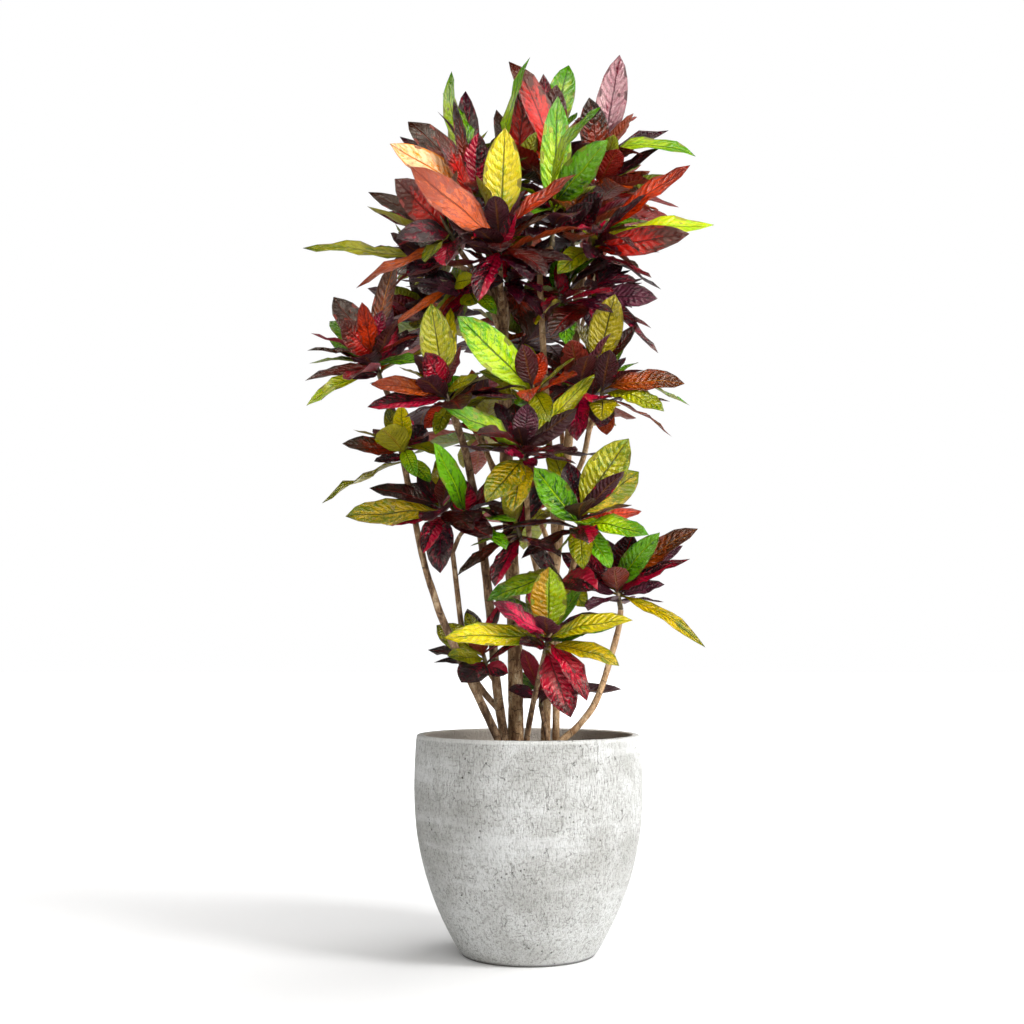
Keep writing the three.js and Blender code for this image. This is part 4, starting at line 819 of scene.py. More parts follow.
# %% [markdown]
# The best seen leaves take their places first. When a place is taken, the leaf shifts back and forth and
# rolls a little. The others follow a rule: 137.5 degrees round the shoot from one to the next, as on most
# plants, standing off widely at the foot of the shoot and closely at its tip. They swing and lean until
# they fit.

# %% How a leaf gives way
PLACED_TRIES = 44
TRY_SHIFT = 6
TRY_ROLL = 8
PLACED_SHRINK = 0.008
RULE_TRIES = 26
TRY_SWING = 12
TRY_LEAN = 4
RULE_SHRINK = 0.018
# of each order that jumps about, its stride and its number of places
ROLLS = (7, 5)
SWINGS = (5, 13)
LEANS = (5, 7)
RULE_SEED = 1000
SHOOT_SEED_STEP = 50
TURN_BETWEEN_LEAVES = 137.5
TURN_BETWEEN_SHOOTS = 67
TURN_CHANCE = (-14, 14)
SPREAD = (98, 30)
SPREAD_CHANCE = (-9, 9)
RULE_LENGTH = (178, 95)
LENGTH_CHANCE = (0.82, 1.1)
RULE_ARCH = (52, 14)
ARCH_CHANCE = (0.6, 1.3)
RULE_WIDTH_SHARE = 0.35
WIDTH_CHANCE = (0.85, 1.15)


def shuffled(attempt, stride, places):
    """A whole number either side of 0 for each try, in an order that jumps about."""
    place = attempt * stride % places
    return place - places if place > places / 2 else place


def turned_about(vector, axis, angle):
    cos, sin = math.cos(angle), math.sin(angle)
    return vector * cos + np.cross(axis, vector) * sin + axis * ((axis @ vector) * (1 - cos))


def placed_leaf(number, row, shoot, attempt):
    _, height, tip, facing, arch, width = row
    end = np.array(tip, float)
    end[1] += TRY_SHIFT * math.ceil(attempt / 2) * (-1 if attempt % 2 else 1)
    root = root_on(shoot, height)
    roll = math.radians(TRY_ROLL * shuffled(attempt, *ROLLS))
    look = turned_about(np.array(FACINGS[facing], float), unit(end - root), roll)
    shrink = 1 - PLACED_SHRINK * attempt
    return leaf_between(root, end, look, arch, width * shrink, seeded(number))


def seed_of(first, name, k):
    """The seed of the leaf with the number k on a shoot, for the leaves that have no row in the table."""
    return first + SHOOT_SEED_STEP * list(SHOOTS).index(name) + k


def outward_of(shoot, turn):
    """The way out of a shoot, square to its line, at a turn in degrees about it."""
    axis = unit(shoot["tip"] - shoot["start"])
    outward = np.array([math.cos(math.radians(turn)), math.sin(math.radians(turn)), 0.0])
    return unit(outward - axis * (outward @ axis))


def standing_off(shoot, height, outward, spread, measures, draw):
    """A leaf that stands off its shoot by the spread in degrees. Its measures are length, arch and width."""
    length, arch, width = measures
    axis = unit(shoot["tip"] - shoot["start"])
    root = root_on(shoot, height)
    angle = math.radians(spread)
    ahead = axis * math.cos(angle) + outward * math.sin(angle)
    look = axis * math.sin(angle) - outward * math.cos(angle)
    return leaf_between(root, root + ahead * length, look, arch, width, draw)


def rule_leaf(name, k, shoot, attempt):
    draw = seeded(seed_of(RULE_SEED, name, k))
    height = (k + 0.5) / SHOOTS[name][1]
    turn = TURN_BETWEEN_LEAVES * k + TURN_BETWEEN_SHOOTS * list(SHOOTS).index(name)
    turn = turn + mix(*TURN_CHANCE, draw()) + TRY_SWING * shuffled(attempt, *SWINGS)
    spread = mix(*SPREAD, height) + mix(*SPREAD_CHANCE, draw()) + TRY_LEAN * shuffled(attempt, *LEANS)
    length = mix(*RULE_LENGTH, height) * mix(*LENGTH_CHANCE, draw()) * (1 - RULE_SHRINK * attempt)
    arch = mix(*RULE_ARCH, height) * mix(*ARCH_CHANCE, draw())
    width = RULE_WIDTH_SHARE * length * mix(*WIDTH_CHANCE, draw())
    return standing_off(shoot, height, outward_of(shoot, turn), spread, (length, arch, width), draw)


# %% [markdown]
# The plain model can only carry some 470 leaves. A croton in good light is denser, so young leaves fill the
# gaps here: each stands anywhere on its shoot and keeps only just clear of the others. Those at the front
# hang down towards the light, as in the photograph.

# %% A leaf that fills a gap
# how many are tried on each shoot, from the lowest tip in millimetres up
FILLERS_FROM = {0: 2, 700: 6, 1000: 14, 1150: 34}
FILLER_SEED = 6000
FILLER_TRIES = 12
FILLER_HEIGHT = (0.1, 1.0)
FILLER_LENGTH = (158, 92)
FILLER_SPREAD = (88, 24)
FILLER_SPREAD_CHANCE = (-14, 14)
FILLER_ARCH = (10, 44)
FILLER_WIDTH_SHARE = 0.37
FILLER_CLEARANCE = 0.5
FILLER_TRY_TURN = 222.5
FILLER_TRY_LEAN = 5
FORWARD_SPREAD = 108
FORWARD_ARCH = 24
FULL_TURN = 360


def filler_leaf(name, k, shoot, attempt):
    draw = seeded(seed_of(FILLER_SEED, name, k))
    height = mix(*FILLER_HEIGHT, draw())
    outward = outward_of(shoot, FULL_TURN * draw() + FILLER_TRY_TURN * attempt)
    forward = max(0.0, -outward[1])
    spread = mix(mix(*FILLER_SPREAD, height), FORWARD_SPREAD, forward)
    spread = spread + mix(*FILLER_SPREAD_CHANCE, draw()) + FILLER_TRY_LEAN * shuffled(attempt, *LEANS)
    length = mix(*FILLER_LENGTH, height) * mix(*LENGTH_CHANCE, draw()) * (1 - RULE_SHRINK * attempt)
    arch = mix(*FILLER_ARCH, draw()) + FORWARD_ARCH * forward
    width = FILLER_WIDTH_SHARE * length * mix(*WIDTH_CHANCE, draw())
    return standing_off(shoot, height, outward, spread, (length, arch, width), draw)


# %% Grow the plant
RIM_CLEARANCE = 10
BLADE_CORNERS = 3
SPACE_CORNERS = 4
BLADE = blade_triangles(BLADE_CORNERS)
SPACE = blade_triangles(SPACE_CORNERS)
FILLER_START = 0.16
BOX_MARGIN = 12


def blade_of(leaf, start):
    """The blade as a body, from a share of the leaf's length on."""
    return Body(blade_points(leaf, start, BLADE_CORNERS), BLADE)


def space_of(leaf, start, spare):
    """The blade with spare space round it, as a body."""
    return Body(blade_points(leaf, start, SPACE_CORNERS, spare), SPACE)


def clear_of_rim(body):
    return body.low[2] >= POT["height"] + RIM_CLEARANCE


def inside_plain_box(body):
    """True if the body stays well inside the plain model's box, with room for its waves."""
    low, high = np.array(plain_low) / MM, np.array(plain_high) / MM
    return bool((body.low > low + BOX_MARGIN).all() and (body.high < high - BOX_MARGIN).all())


def by_height(table, height):
    """What a table says for a height. Its keys are the lowest heights of its bands."""
    return table[max(lowest for lowest in table if lowest <= height)]


def grow():
    """The shoots by name, each with its leaves."""
    whole, outer, close = Taken(), Taken(), Taken()
    shoots = {name: dict(shoot_line(name), leaves=[]) for name in SHOOTS}

    def guard(owner, path, from_radius, to_radius):
        for i in range(len(path) - 1):
            radii = [mix(from_radius, to_radius, k / (len(path) - 1)) + CANE_CLEARANCE for k in (i, i + 1)]
            whole.put(owner, Body(*tube(path[i:i + 2], *radii, SPACE_SIDES)))

    def settle(name, colour, seed, tries, leaf_at):
        """Gives the shoot its leaf at the first try that is free, if any is."""
        for attempt in range(tries):
            leaf = leaf_at(attempt)
            body = blade_of(leaf, 0)
            if not clear_of_rim(body):
                continue
            if whole.crosses(body, lambda owner: owner not in (name, name + " stem")):
                continue
            if outer.crosses(blade_of(leaf, OUTSIDE_SHOOT), lambda owner: owner == name):
                continue
            whole.put(name, space_of(leaf, 0, LEAF_CLEARANCE))
            outer.put(name, space_of(leaf, OUTSIDE_SHOOT, LEAF_CLEARANCE))
            close.put(name, space_of(leaf, FILLER_START, FILLER_CLEARANCE))
            shoots[name]["leaves"].append(dict(leaf, colour=colour, seed=seed))
            return

    def fill(name, k):
        for attempt in range(FILLER_TRIES):
            leaf = filler_leaf(name, k, shoots[name], attempt)
            body = blade_of(leaf, FILLER_START)
            if not clear_of_rim(body) or not inside_plain_box(body):
                continue
            if close.crosses(body, lambda owner: True):
                continue
            if whole.crosses(body, lambda owner: owner in CANES or owner.endswith(" stem")):
                continue
            close.put(name, space_of(leaf, FILLER_START, FILLER_CLEARANCE))
            shoots[name]["leaves"].append(dict(leaf, colour=None, seed=seed_of(FILLER_SEED, name, k)))
            return

    for cane in CANES:
        for _, from_radius, to_radius, path in cane_branches(cane):
            guard(cane, path, from_radius, to_radius)
    for name, shoot in shoots.items():
        guard(name + " stem", [shoot["start"], shoot["bud"]], SHOOT_RADIUS, 0)
    for number, (name, row) in enumerate(PLACED):
        settle(name, row[0], number, PLACED_TRIES, partial(placed_leaf, number, row, shoots[name]))
    for k in range(max(count for _, count in SHOOTS.values())):
        for name, (_, count) in SHOOTS.items():
            if k < count:
                seed = seed_of(RULE_SEED, name, k)
                settle(name, None, seed, RULE_TRIES, partial(rule_leaf, name, k, shoots[name]))
    for k in range(max(FILLERS_FROM.values())):
        for name, (tip, _) in SHOOTS.items():
            if k < by_height(FILLERS_FROM, tip[2]):
                fill(name, k)
    return shoots


shoots = grow()
print("grown", sum(len(shoot["leaves"]) for shoot in shoots.values()), "leaves")

# %% [markdown]
# ## Leaf colours
# No two croton leaves are alike, but they keep to families: lime and gold ones high up and in front, red,
# coral and pink ones that are older, and plum or wine ones deep inside. One picture of a leaf could be
# wrapped on all of them, but then the repeats would show. So a family is a ground colour, a second one, a
# vein colour and one for the underside. Shares say how far the second colour spreads in blotches, how clear
# the veins are, how wide the margin is, whether one half of the blade is the second colour, and how far it
# spreads from an end.

# %% The families of leaf colours
OLIVE_BACK = (120, 112, 40)
RED_BACK = (112, 40, 30)
PURPLE_BACK = (60, 22, 32)
# ground, second, veins and beneath, then the shares of blotches, veins, margin, half and tip. A tip share
# below 0 is for the foot instead.
FAMILIES = {
    "lime": [(166, 194, 8), (70, 128, 6), (30, 66, 8), OLIVE_BACK, (0.3, 0.85, 0.5, 0, 0.6)],
    "pale": [(210, 210, 84), (140, 176, 24), (108, 130, 30), OLIVE_BACK, (0.34, 0.4, 0.3, 0, 0.3)],
    "limegold": [(144, 172, 8), (170, 128, 20), (62, 84, 8), OLIVE_BACK, (0.12, 0.6, 0.25, 0.8, 0)],
    "gold": [(220, 198, 18), (116, 138, 8), (70, 70, 6), OLIVE_BACK, (0.26, 0.55, 0.45, 0, -0.4)],
    "goldgreen": [(198, 164, 8), (84, 96, 4), (40, 50, 8), OLIVE_BACK, (0.42, 0.8, 0.4, 0, 0.3)],
    "olive": [(168, 162, 10), (84, 104, 4), (58, 66, 4), OLIVE_BACK, (0.3, 0.7, 0.45, 0, 0.3)],
    "stripe": [(176, 160, 66), (108, 102, 26), (58, 54, 12), OLIVE_BACK, (0.3, 1.0, 0.3, 0, 0.3)],
    "green": [(96, 156, 10), (18, 60, 10), (164, 200, 24), OLIVE_BACK, (0.38, 0.4, 0.3, 0, -0.3)],
    "peach": [(232, 196, 164), (212, 128, 82), (190, 92, 40), RED_BACK, (0.24, 0.5, 0.9, 0, -0.4)],
    "orange": [(208, 84, 16), (128, 44, 14), (96, 28, 12), RED_BACK, (0.34, 0.55, 0.55, 0, 0.5)],
    "coral": [(222, 62, 26), (112, 28, 16), (92, 16, 12), RED_BACK, (0.3, 0.6, 0.5, 0, 0.5)],
    "red": [(196, 30, 24), (66, 18, 10), (66, 8, 8), RED_BACK, (0.34, 0.6, 0.45, 0, 0.95)],
    "crimson": [(190, 20, 48), (58, 10, 18), (52, 4, 14), PURPLE_BACK, (0.36, 0.55, 0.4, 0, 0.5)],
    "pink": [(222, 52, 88), (74, 16, 30), (100, 12, 38), PURPLE_BACK, (0.34, 0.5, 0.45, 0, 0.6)],
    "wine": [(36, 10, 16), (172, 18, 48), (20, 6, 10), PURPLE_BACK, (0.2, 0.4, 0.2, 0.9, -0.5)],
    "maroon": [(78, 20, 20), (26, 10, 12), (130, 36, 36), PURPLE_BACK, (0.4, 0.4, 0.4, 0, 0.5)],
    "plum": [(30, 13, 20), (140, 18, 42), (74, 22, 34), PURPLE_BACK, (0.04, 0.35, 0.1, 0, -0.55)],
    "brown": [(128, 34, 16), (36, 15, 8), (84, 26, 14), RED_BACK, (0.44, 0.4, 0.4, 0, 0.9)],
    # mauve is painted sheen, a greyish pink for reflections on dark glossy leaves; blush a painted highlight
    "mauve": [(104, 66, 76), (40, 20, 28), (32, 14, 22), PURPLE_BACK, (0.36, 0.5, 0.4, 0, 0.2)],
    "blush": [(168, 136, 140), (104, 56, 62), (62, 32, 40), PURPLE_BACK, (0.3, 0.5, 0.4, 0, 0.2)],
    "rust": [(160, 64, 18), (60, 26, 10), (180, 104, 36), RED_BACK, (0.42, 0.45, 0.4, 0, 0.6)],
}
# what the leaves without a row of their own take after, from the lowest height in millimetres up
BY_HEIGHT = {
    0: ["plum", "olive", "green", "wine", "crimson", "brown", "goldgreen", "olive"],
    700: ["plum", "green", "maroon", "olive", "plum", "lime", "brown", "stripe", "wine", "rust"],
    1100: ["plum", "maroon", "plum", "wine", "brown", "plum", "crimson", "plum", "olive"],
    1330: ["brown", "red", "maroon", "brown", "coral", "plum", "green", "orange", "lime", "red"],
}
BRIGHT = [
    "lime", "stripe", "limegold", "coral", "orange", "green", "olive", "red", "goldgreen", "rust", "lime",
]
DARK = ["plum", "maroon", "brown", "wine", "plum", "mauve", "olive"]
RARE = ("gold", "peach", "limegold", "blush")
OWN_SHARE = 0.45
BACK_BRIGHT_SHARE = 0.5
TURNED_AWAY = 0.3
PAINT_SEED = 7
SHADE_CHANCE = (0.85, 1.2)
BLOTCH_CHANCE = (0.6, 1.3)
LEFT_SHARE = 0.5
PATTERN_SPREAD = 10


def family_of(leaf, name, draw):
    """A placed leaf has its own family. The others take after their shoot or after their height."""
    if leaf["colour"]:
        return leaf["colour"]
    own = [row[0] for row in LEAVES.get(name, []) if row[0] not in RARE]
    share = OWN_SHARE if own else BACK_BRIGHT_SHARE
    choices = (own or BRIGHT) if draw() < share else by_height(BY_HEIGHT, leaf["root"][2])
    if leaf["root"][1] < 0 and leaf["normal"][1] > TURNED_AWAY:
        choices = DARK
    return choices[int(draw() * len(choices))]


def paint_of(leaf, name):
    """A leaf's colours, its shares, and the number that makes its pattern its own."""
    draw = seeded(leaf["seed"] + PAINT_SEED)
    *family, (blotches, veins, margin, half, tip) = FAMILIES[family_of(leaf, name, draw)]
    shade = mix(*SHADE_CHANCE, draw())
    colours = [[c * shade for c in srgb(*colour)[:3]] + [1.0] for colour in family]
    paint = dict(zip(("ground", "second", "veins", "beneath"), colours))
    paint["shares"] = (blotches * mix(*BLOTCH_CHANCE, draw()), veins, margin)
    paint["more"] = (half * (1 if draw() < LEFT_SHARE else -1), tip, draw())
    paint["seed"] = PATTERN_SPREAD * draw()
    return paint


# the kind and the field of an attribute, by how many numbers it holds
KINDS = {1: ("FLOAT", "value"), 3: ("FLOAT_VECTOR", "vector"), 4: ("FLOAT_COLOR", "color")}


def leaf_points_mesh(name, shoot):
    """A mesh of one point for each leaf, which carries the leaf's measures in metres and its colours."""
    leaves = shoot["leaves"]
    mesh = bpy.data.meshes.new(name)
    mesh.from_pydata([tuple(leaf["root"] * MM) for leaf in leaves], [], [])

    def carry(label, rows):
        rows = np.array(rows, "f").reshape(len(leaves), -1)
        kind, held = KINDS[rows.shape[1]]
        mesh.attributes.new(label, kind, "POINT").data.foreach_set(held, rows.ravel())

    carry("root", [leaf["root"] * MM for leaf in leaves])
    for label in ("heading", "normal", "side", "twist"):
        carry(label, [leaf[label] for leaf in leaves])
    carry("size", [(leaf["length"] * MM, leaf["width"] / 2 * MM, leaf["arch"]) for leaf in leaves])
    carry("ripple", [(leaf["ripple"] * MM, leaf["waves"], leaf["phase"]) for leaf in leaves])
    paints = [paint_of(leaf, name) for leaf in leaves]
    for label in paints[0]:
        carry(label, [paint[label] for paint in paints])
    return mesh


# these shoots' first leaf is painted in another family than the record names
NAMED_OTHERWISE = {"crown_mid": "green", "crown_top": "brown", "crown_right": "mauve"}


def leaf_slot(name):
    """The record names a shoot's material after its first placed leaf, bar three."""
    first = LEAVES[name][0][0] if name in LEAVES else "plum"
    return "leaf_" + NAMED_OTHERWISE.get(name, first)


print(len(FAMILIES), "families of leaf colours")

# %% [markdown]
# ## A leafy shoot
# A croton leaf is a short stalk and a long oval blade, folded a little along its midrib. Each could be
# sculpted, but hundreds are needed, and each arches, twists and ripples by its own amount. So Geometry
# Nodes put one plain tube on every point and move its corners. The same sum as in the plain model turns a
# place on the tube, across and along, into a place on that leaf. The stem is a second small tube, from the
# shoot's foot to its bud.

# %% Helpers for trees of Geometry Nodes
def shape_tree(name, inputs):
    """A new tree with a geometry input and the named ones. Returns the graph and a Wire for each input."""
    tree = bpy.data.node_groups.new(name, "GeometryNodeTree")
    tree.interface.new_socket("Geometry", in_out="INPUT", socket_type="NodeSocketGeometry")
    for label, (kind, value) in inputs.items():
        socket = tree.interface.new_socket(label, in_out="INPUT", socket_type="NodeSocket" + kind)
        if value is not None:
            socket.default_value = value
    tree.interface.new_socket("Geometry", in_out="OUTPUT", socket_type="NodeSocketGeometry")
    graph = Graph(tree)
    entry = tree.nodes.new("NodeGroupInput")
    return graph, {socket.name: Wire(graph, socket) for socket in entry.outputs if socket.name}


def field(graph, name, kind="FLOAT_VECTOR"):
    """A named attribute, read in a tree of Geometry Nodes."""
    return graph.add("GeometryNodeInputNamedAttribute", {"data_type": kind}, {"Name": name})


def store(graph, geometry, name, kind, value):
    inputs = {"Geometry": geometry, "Name": name, "Value": value}
    return graph.add("GeometryNodeStoreNamedAttribute", {"data_type": kind, "domain": "POINT"}, inputs)


def smoothed(graph, geometry):
    inputs = {"Geometry": geometry, "Shade Smooth": True}
    return graph.add("GeometryNodeSetShadeSmooth", {"domain": "FACE"}, inputs)


def wrapped(graph, curve, sides, radius):
    """A smooth, closed skin round a curve."""
    inputs = {"Resolution": sides, "Radius": 1.0}
    ring = graph.add("GeometryNodeCurvePrimitiveCircle", {"mode": "RADIUS"}, inputs)
    inputs = {"Curve": curve, "Profile Curve": ring, "Scale": radius, "Fill Caps": True}
    return smoothed(graph, graph.add("GeometryNodeCurveToMesh", (), inputs))


def joined_up(graph, geometry):
    """Makes the copies that stand on points into plain geometry."""
    return graph.add("GeometryNodeRealizeInstances", (), {"Geometry": geometry})


def end_tree(graph, *parts):
    """Gives each part its material, joins them and hands them out."""
    join = graph.tree.nodes.new("GeometryNodeJoinGeometry")
    for geometry, material in parts:
        inputs = {"Geometry": geometry, "Material": material}
        made = graph.add("GeometryNodeSetMaterial", (), inputs)
        graph.tree.links.new(made.socket, join.inputs[0])
    leave = graph.tree.nodes.new("NodeGroupOutput")
    graph.tree.links.new(join.outputs[0], leave.inputs[0])
    return graph.tree


def grown_mesh(name, mesh, tree, values):
    """Runs a tree over a mesh and returns the result as a plain piece at the origin."""
    base = bpy.data.objects.new(name + " base", mesh)
    bpy.context.scene.collection.objects.link(base)
    modifier = base.modifiers.new("shape", "NODES")
    modifier.node_group = tree
    for item in tree.interface.items_tree:
        if item.in_out == "INPUT" and item.name in values:
            modifier[item.identifier] = values[item.name]
    evaluated = base.evaluated_get(bpy.context.evaluated_depsgraph_get())
    made = bpy.data.meshes.new_from_object(evaluated)
    bpy.data.objects.remove(base)
    made.name = name
    piece = bpy.data.objects.new(name, made)
    bpy.context.scene.collection.objects.link(piece)
    return piece


# %% The tree that makes a leafy shoot
FULL_BASE_POWER = 0.7
FULL_TIP_POWER = 0.76
RUFFLE_PACE = 1.8
RUFFLE_LEAN = 1.4
RIB_TAPER = 8
RIB_AT_TIP = 0.15
BELOW = -0.01
SHORT_OF_TIP = 0.999
EDGE_REACH = 0.99
STEM_SIDES = 10
STEM_STEPS = 14
STEM_TAPER = 0.45
STEM_END = 1.04
STEM_END_POWER = 9.0
KNOT_SCALE = 90.0
KNOT_SHARE = 0.5


def leaf_position(graph, given):
    """Where a corner of the plain tube goes on its leaf."""
    root, heading, normal = [field(graph, name) for name in ("root", "heading", "normal")]
    length, width, arch = graph.parts(field(graph, "size"))
    height, waves, phase = graph.parts(field(graph, "ripple"))
    across, level, t = graph.parts(field(graph, "blade"))
    x = graph.maths("MAXIMUM", (t - STALK_SHARE) / (1 - STALK_SHARE), 0.0)
    swell = outline(x)
    broad = outline(x, FULL_BASE_POWER, FULL_TIP_POWER)
    half = given["Stalk"] * (1 - x) + (width * given["Breadth"] - given["Stalk"]) * broad
    half = graph.maths("MAXIMUM", half, given["Tip"])
    angle = arch * t
    cos, sin = graph.maths("COSINE", angle), graph.maths("SINE", angle)
    along = heading * cos - normal * sin
    up = heading * sin + normal * cos
    turn = field(graph, "twist", "FLOAT") * t
    side = field(graph, "side") * graph.maths("COSINE", turn) + up * graph.maths("SINE", turn)
    over = graph.add("ShaderNodeVectorMath", {"operation": "CROSS_PRODUCT"}, (side, along))
    reach = graph.maths("ABSOLUTE", across)
    roll = waves * x * (2 * math.pi) + phase
    wave = height * swell * given["Wave"] * graph.maths("SINE", roll)
    ruffle = graph.maths("SINE", roll * RUFFLE_PACE + across * RUFFLE_LEAN)
    ruffle = height * swell * reach * reach * given["Ruffle"] * ruffle
    fold = (1 - reach) * half * given["Fold"]
    stalk = given["Stalk Depth"] * (1 - t) * (1 - t)
    taper = graph.maths("MINIMUM", (1 - t) * RIB_TAPER + RIB_AT_TIP, 1.0)
    rib = (1 - reach) * (given["Midrib"] + stalk) * taper * graph.maths("LESS_THAN", level, BELOW)
    place = root + heading * (length * sin / arch) - normal * (length * (1 - cos) / arch)
    return place + side * (across * half) + over * (wave + ruffle - fold - rib)


def shoot_tree():
    graph, given = shape_tree("leafy shoot", {
        "Sides": ("Int", 8), "Segments": ("Int", 9),
        "Stalk": ("Float", STALK_HALF_WIDTH * 0.75 * MM), "Tip": ("Float", 0.2 * MM),
        "Fold": ("Float", 0.16), "Wave": ("Float", 0.8), "Ruffle": ("Float", 0.8),
        "Breadth": ("Float", 1.07),
        "Midrib": ("Float", MIDRIB * MM), "Stalk Depth": ("Float", STALK_EXTRA * MM),
        "Foot": ("Vector", None), "Bud": ("Vector", None), "Stem Radius": ("Float", SHOOT_RADIUS * MM),
        "Leaf Finish": ("Material", None), "Stem Finish": ("Material", None),
    })
    inputs = {"Vertices": given["Sides"], "Side Segments": given["Segments"], "Radius": 1.0, "Depth": 1.0}
    blank = graph.add("GeometryNodeMeshCylinder", {"fill_type": "NGON"}, inputs)
    across, level, along = graph.parts(graph.add("GeometryNodeInputPosition"))
    place = graph.join(0 - across, level, (along + 0.5) * SHORT_OF_TIP)
    blank = store(graph, blank, "blade", "FLOAT_VECTOR", place)
    inputs = {"Points": given["Geometry"], "Instance": blank}
    leaves = joined_up(graph, graph.add("GeometryNodeInstanceOnPoints", (), inputs))
    inputs = {"Geometry": leaves, "Position": leaf_position(graph, given)}
    leaves = smoothed(graph, graph.add("GeometryNodeSetPosition", (), inputs))
    reach = graph.maths("ABSOLUTE", graph.part(field(graph, "blade"), 0))
    on_edge = graph.maths("GREATER_THAN", reach, EDGE_REACH)
    inputs = {"Geometry": leaves, "Selection": on_edge, "Shade Smooth": False}
    leaves = graph.add("GeometryNodeSetShadeSmooth", {"domain": "EDGE"}, inputs)

    line = graph.add("GeometryNodeCurvePrimitiveLine", (), {"Start": given["Foot"], "End": given["Bud"]})
    inputs = {"Curve": line, "Count": STEM_STEPS}
    line = graph.add("GeometryNodeResampleCurve", {"mode": "COUNT"}, inputs)
    share = graph.add("GeometryNodeSplineParameter")
    knots = graph.noise(graph.add("GeometryNodeInputPosition"), KNOT_SCALE)
    radius = given["Stem Radius"] * (1 - share * STEM_TAPER) * (STEM_END - share ** STEM_END_POWER)
    radius = radius * (knots * KNOT_SHARE + (1 - KNOT_SHARE / 2))
    stem = wrapped(graph, line, STEM_SIDES, radius)
    return end_tree(graph, (leaves, given["Leaf Finish"]), (stem, given["Stem Finish"]))


# %% [markdown]
# ## The finish of a leaf
# The blade is leathery and glossy. Its midrib and the slanting side veins stand out in colour, blotches of
# the second colour run between them, and the margin is a thin dark line. The underside is dull. Painted
# light and shade lies over it all: brighter and darker patches for the gloss and the ripples. A painted
# picture would blur up close, so the pattern is reckoned from the place across and along the blade that
# each corner carries, and from the colours of its leaf.

# %% Helpers for finishes
def finish(name, **constants):
    """A new material: its graph, its surface node and itself. Constants go on the surface's own sockets."""
    material = bpy.data.materials.new(name)
    material.use_nodes = True
    surface = material.node_tree.nodes["Principled BSDF"]
    for label, value in constants.items():
        surface.inputs[label.replace("_", " ")].default_value = value
    return Graph(material.node_tree), surface, material


def carried(graph, name, output=1):
    """What the mesh carries under that name: 0 as a colour, 1 as a vector, 2 as a number."""
    return graph.add("ShaderNodeAttribute", {"attribute_name": name}, (), output)


def object_place(graph):
    """The place on the piece, in metres."""
    return graph.add("ShaderNodeTexCoord", (), (), 3)


def coats(graph, colour, layers):
    """Lays colours over one another, each by its own share."""
    for share, over in layers:
        colour = graph.blend(share, colour, srgb(*over))
    return colour


def dressed(graph, surface, colour, roughness, height, strength, distance):
    """Feeds a surface its colour, its roughness and a relief of that height in millimetres."""
    graph.feed(surface.inputs["Base Color"], colour)
    graph.feed(surface.inputs["Roughness"], roughness)
    inputs = {"Strength": strength, "Distance": distance * MM, "Height": height}
    graph.feed(surface.inputs["Normal"], graph.add("ShaderNodeBump", (), inputs))


# %% The finish of the leaves and of the young stems
VEIN_PAIRS = 13
VEIN_SLANT = 1.7
VEIN_STAGGER = 0.21
VEIN_SWAY = 1.1
VEIN_WIDTH = 0.17
MIDRIB_REACH = (0.02, 0.07)
STALK_END = (0.03, 0.13)
STALK_PAINT = (138, 128, 52)
RIB_PAINT = (160, 112, 66)
SHADOW = (0.02, 0.008, 0.008, 1)
SATURATION = 1.34
BRIGHTNESS = 1.22
LEAF_RELIEF = 4.0


